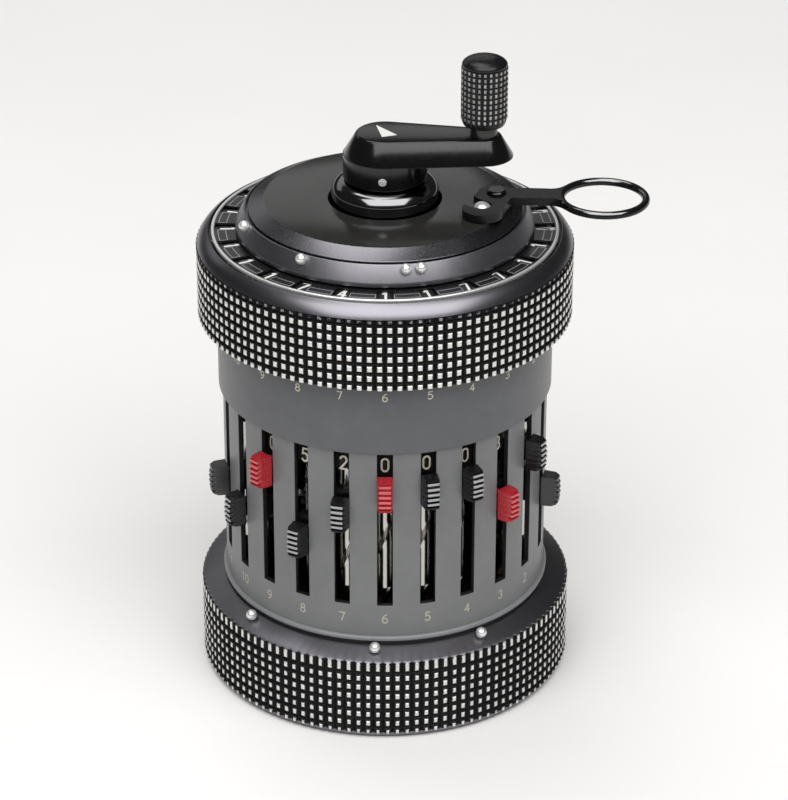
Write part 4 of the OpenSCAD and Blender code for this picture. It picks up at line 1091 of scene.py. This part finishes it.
def setting_shafts():
    for number in range(1, SLIDERS + 1):
        node = f"setting_shaft_{number}"
        azimuth = place_azimuth(number - 1)
        shown = SETTINGS[number - 1]
        low, high = node_box(node)
        centre = polar(SETTING_RING_R, azimuth, 0)[:2]
        drum_high = high.z - DRUM_DOWN
        drum_low = drum_high - DRUM_H
        half = math.degrees(GROOVE_W / 2 / SHAFT_R)
        sides = [(a, math.sqrt(max(0.0, 1 - (a / half) ** 2))) for a in spread(-half, half, 7)]
        sides += [(a, 0.0) for a in spread(half, 360 - half, 20)[1:-1]]
        rows, looks = [], []

        def ring(radius, z, deep=0.0, look=0):
            twist = azimuth + 180 + DIGIT_DEG / DIGIT_STEP * (z - GROOVE_ZERO_Z) + DIGIT_DEG * shown
            row = [polar(radius - deep * share, twist + angle, z) for angle, share in sides]
            rows.append(shifted(row, centre))
            looks.append(look)
        shoulder_z = low.z + JOURNAL_H
        for radius, z in ((JOURNAL_R, low.z), (JOURNAL_R, shoulder_z), (SHAFT_R, shoulder_z),
                          (SHAFT_R, GROOVE_LOW)):
            ring(radius, z)
        for z in spread(GROOVE_LOW, GROOVE_HIGH, 70):
            ring(SHAFT_R, z, GROOVE_DEPTH)
        ring(SHAFT_R, GROOVE_HIGH)
        ring(SHAFT_R, drum_low, 0, 1)
        for radius, z in ((FIGURE_R - 0.1, drum_low), (FIGURE_R, drum_low + 0.1),
                          (FIGURE_R, drum_high - 0.1), (FIGURE_R - 0.1, drum_high)):
            ring(radius, z, 0, 1)
        ring(JOURNAL_R, drum_high)
        ring(JOURNAL_R, high.z)
        shape = Shape()
        shape.rings(rows, looks, caps=True)
        for figure in range(10):
            place = on_wall(FIGURE_R, azimuth - DIGIT_DEG * (figure - shown), drum_low + 1.25, centre)
            letters(shape, str(figure), 2.4, 0.34, place, 2, slim=0.8)
        piece(f"setting_shaft_turned_{number}", shape, [shaft_steel, black_and_painted_shade, cream_paint], node,
              (node,))


def figure_masks():
    """Black curved strips on both sides of each figure: painted shade, so that its neighbours on the drum
    stay hidden.
    """
    shape = Shape()
    for number in range(1, SLIDERS + 1):
        azimuth = place_azimuth(number - 1)
        top_z = node_box(f"setting_shaft_{number}")[1].z - DRUM_DOWN
        centre = polar(SETTING_RING_R, azimuth, 0)[:2]
        inner_r, outer_r, low_z = FIGURE_R + 0.08, FIGURE_R + 0.16, top_z - DRUM_H
        section = [(inner_r, low_z), (outer_r, low_z), (outer_r, top_z), (inner_r, top_z)]
        for side in (-1, 1):
            rows = []
            for angle in spread(MASK_OPEN_DEG, DRUM_MASK_END_DEG, 8):
                rows.append(shifted([polar(r, azimuth + side * angle, z) for r, z in section], centre))
            shape.rings(rows, caps=True)
    piece("figure_masks", shape, [black_and_painted_shade], "housing")


def kept_nodes():
    """CAD nodes that stay as they are, each with its finish."""
    kept = {
        black_satin: ["base_cover"],
        bright_steel: ["base_screws", "main_shaft", "crank_pin", "dial_axles"],
        dark_steel: ["guide_tube", "transmission_shafts"],
        aluminium: ["tens_bell", "step_drum", "carriage_sleeve"],
        # The lower bearing plate takes the darkened brass: painted shade inside the tube
        brass_painted_shade: ["lower_bearing_plate"],
        brass: ["upper_bearing_plate", "carry_gears", "clearing_rack"],
        black_gloss: ["knob_stud"],
        black_dial: ["result_dials"],
        light_dial: ["counter_dials"],
    }
    for look, nodes in kept.items():
        for node in nodes:
            mesh = frame["nodes"][node].data
            mesh.materials.clear()
            mesh.materials.append(look)


def spring():
    """The carriage's spring, a copy of the CAD node with a mesh of its own."""
    coils = dressed("carriage_spring", [bright_steel])
    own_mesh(coils)


base_ring()
tube()
collar()
body_figures()
carriage_shell()
window_ring()
dial_figures()
dial_masks()
decimal_ring()
beads()
cover()
hub_collar()
crank_arm()
crank_knob()
sliders()
setting_shafts()
figure_masks()
kept_nodes()
dressed("reversing_lever", [black_plastic], 0.3)
spring()


# Floor, lights and camera

LAMP_DISTANCE = 1.6
WORLD_COLOR = (0.80, 0.80, 0.80, 1)
WORLD_STRENGTH = 0.05


def floor():
    mesh = bpy.data.meshes.new("floor")
    half = 4.0
    level = -0.0002
    corners = [(-half, -half, level), (half, -half, level), (half, half, level), (-half, half, level)]
    mesh.from_pydata(corners, [], [[0, 1, 2, 3]])
    material, tree, shader = new_material("floor_paper")
    tone = ramp(tree, noise(tree, 60.0, 4.0), [(0.3, (0.87, 0.857, 0.843)), (0.7, (0.89, 0.878, 0.864))])
    tree.links.new(tone, shader.inputs["Base Color"])
    shader.inputs["Roughness"].default_value = 0.7
    mesh.materials.append(material)
    made = bpy.data.objects.new("floor", mesh)
    bpy.context.scene.collection.objects.link(made)


def area_light(name, direction, size, brightness):
    """A soft panel at the same distance as the others, facing the origin."""
    place = Vector(direction).normalized() * LAMP_DISTANCE
    data = bpy.data.lights.new(name, "AREA")
    data.shape = "RECTANGLE"
    data.size, data.size_y = size
    data.energy = math.pi * size[0] * size[1] * brightness
    lamp = bpy.data.objects.new(name, data)
    lamp.location = place
    lamp.rotation_mode = "QUATERNION"
    lamp.rotation_quaternion = (-place).to_track_quat("-Z", "Y")
    bpy.context.scene.collection.objects.link(lamp)


def world():
    made = bpy.data.worlds.new("studio")
    made.use_nodes = True
    background = made.node_tree.nodes["Background"]
    background.inputs["Color"].default_value = WORLD_COLOR
    background.inputs["Strength"].default_value = WORLD_STRENGTH
    bpy.context.scene.world = made


# The camera stands at the photograph's place and looks at a point on the axis
TARGET = Vector((0, 0, 49.25)) * MM
CAMERA_DISTANCE = 554.0 * MM
CAMERA_ELEVATION = 27.39
CAMERA_LENS = 141.26
CAMERA_SHIFT = 0.01125
CAMERA_SENSOR = 36


def camera():
    data = bpy.data.cameras.new("camera")
    data.lens = CAMERA_LENS
    data.sensor_width = CAMERA_SENSOR
    data.shift_x = CAMERA_SHIFT
    data.clip_start, data.clip_end = 0.01, 20
    made = bpy.data.objects.new("camera", data)
    rise = math.radians(CAMERA_ELEVATION)
    made.location = TARGET + Vector((0, -math.cos(rise), math.sin(rise))) * CAMERA_DISTANCE
    made.rotation_euler = (math.pi / 2 - rise, 0, 0)
    bpy.context.scene.collection.objects.link(made)
    bpy.context.scene.camera = made


floor()
area_light("front top", (0.04, -0.50, 0.866), (2.3, 1.4), 3.45)
area_light("top", (-0.14, 0.24, 1.0), (0.8, 1.05), 3.2)
area_light("back", (-0.35, 0.85, 0.45), (1.6, 0.45), 0.56)
world()
camera()
bpy.context.scene.view_settings.view_transform = "Standard"
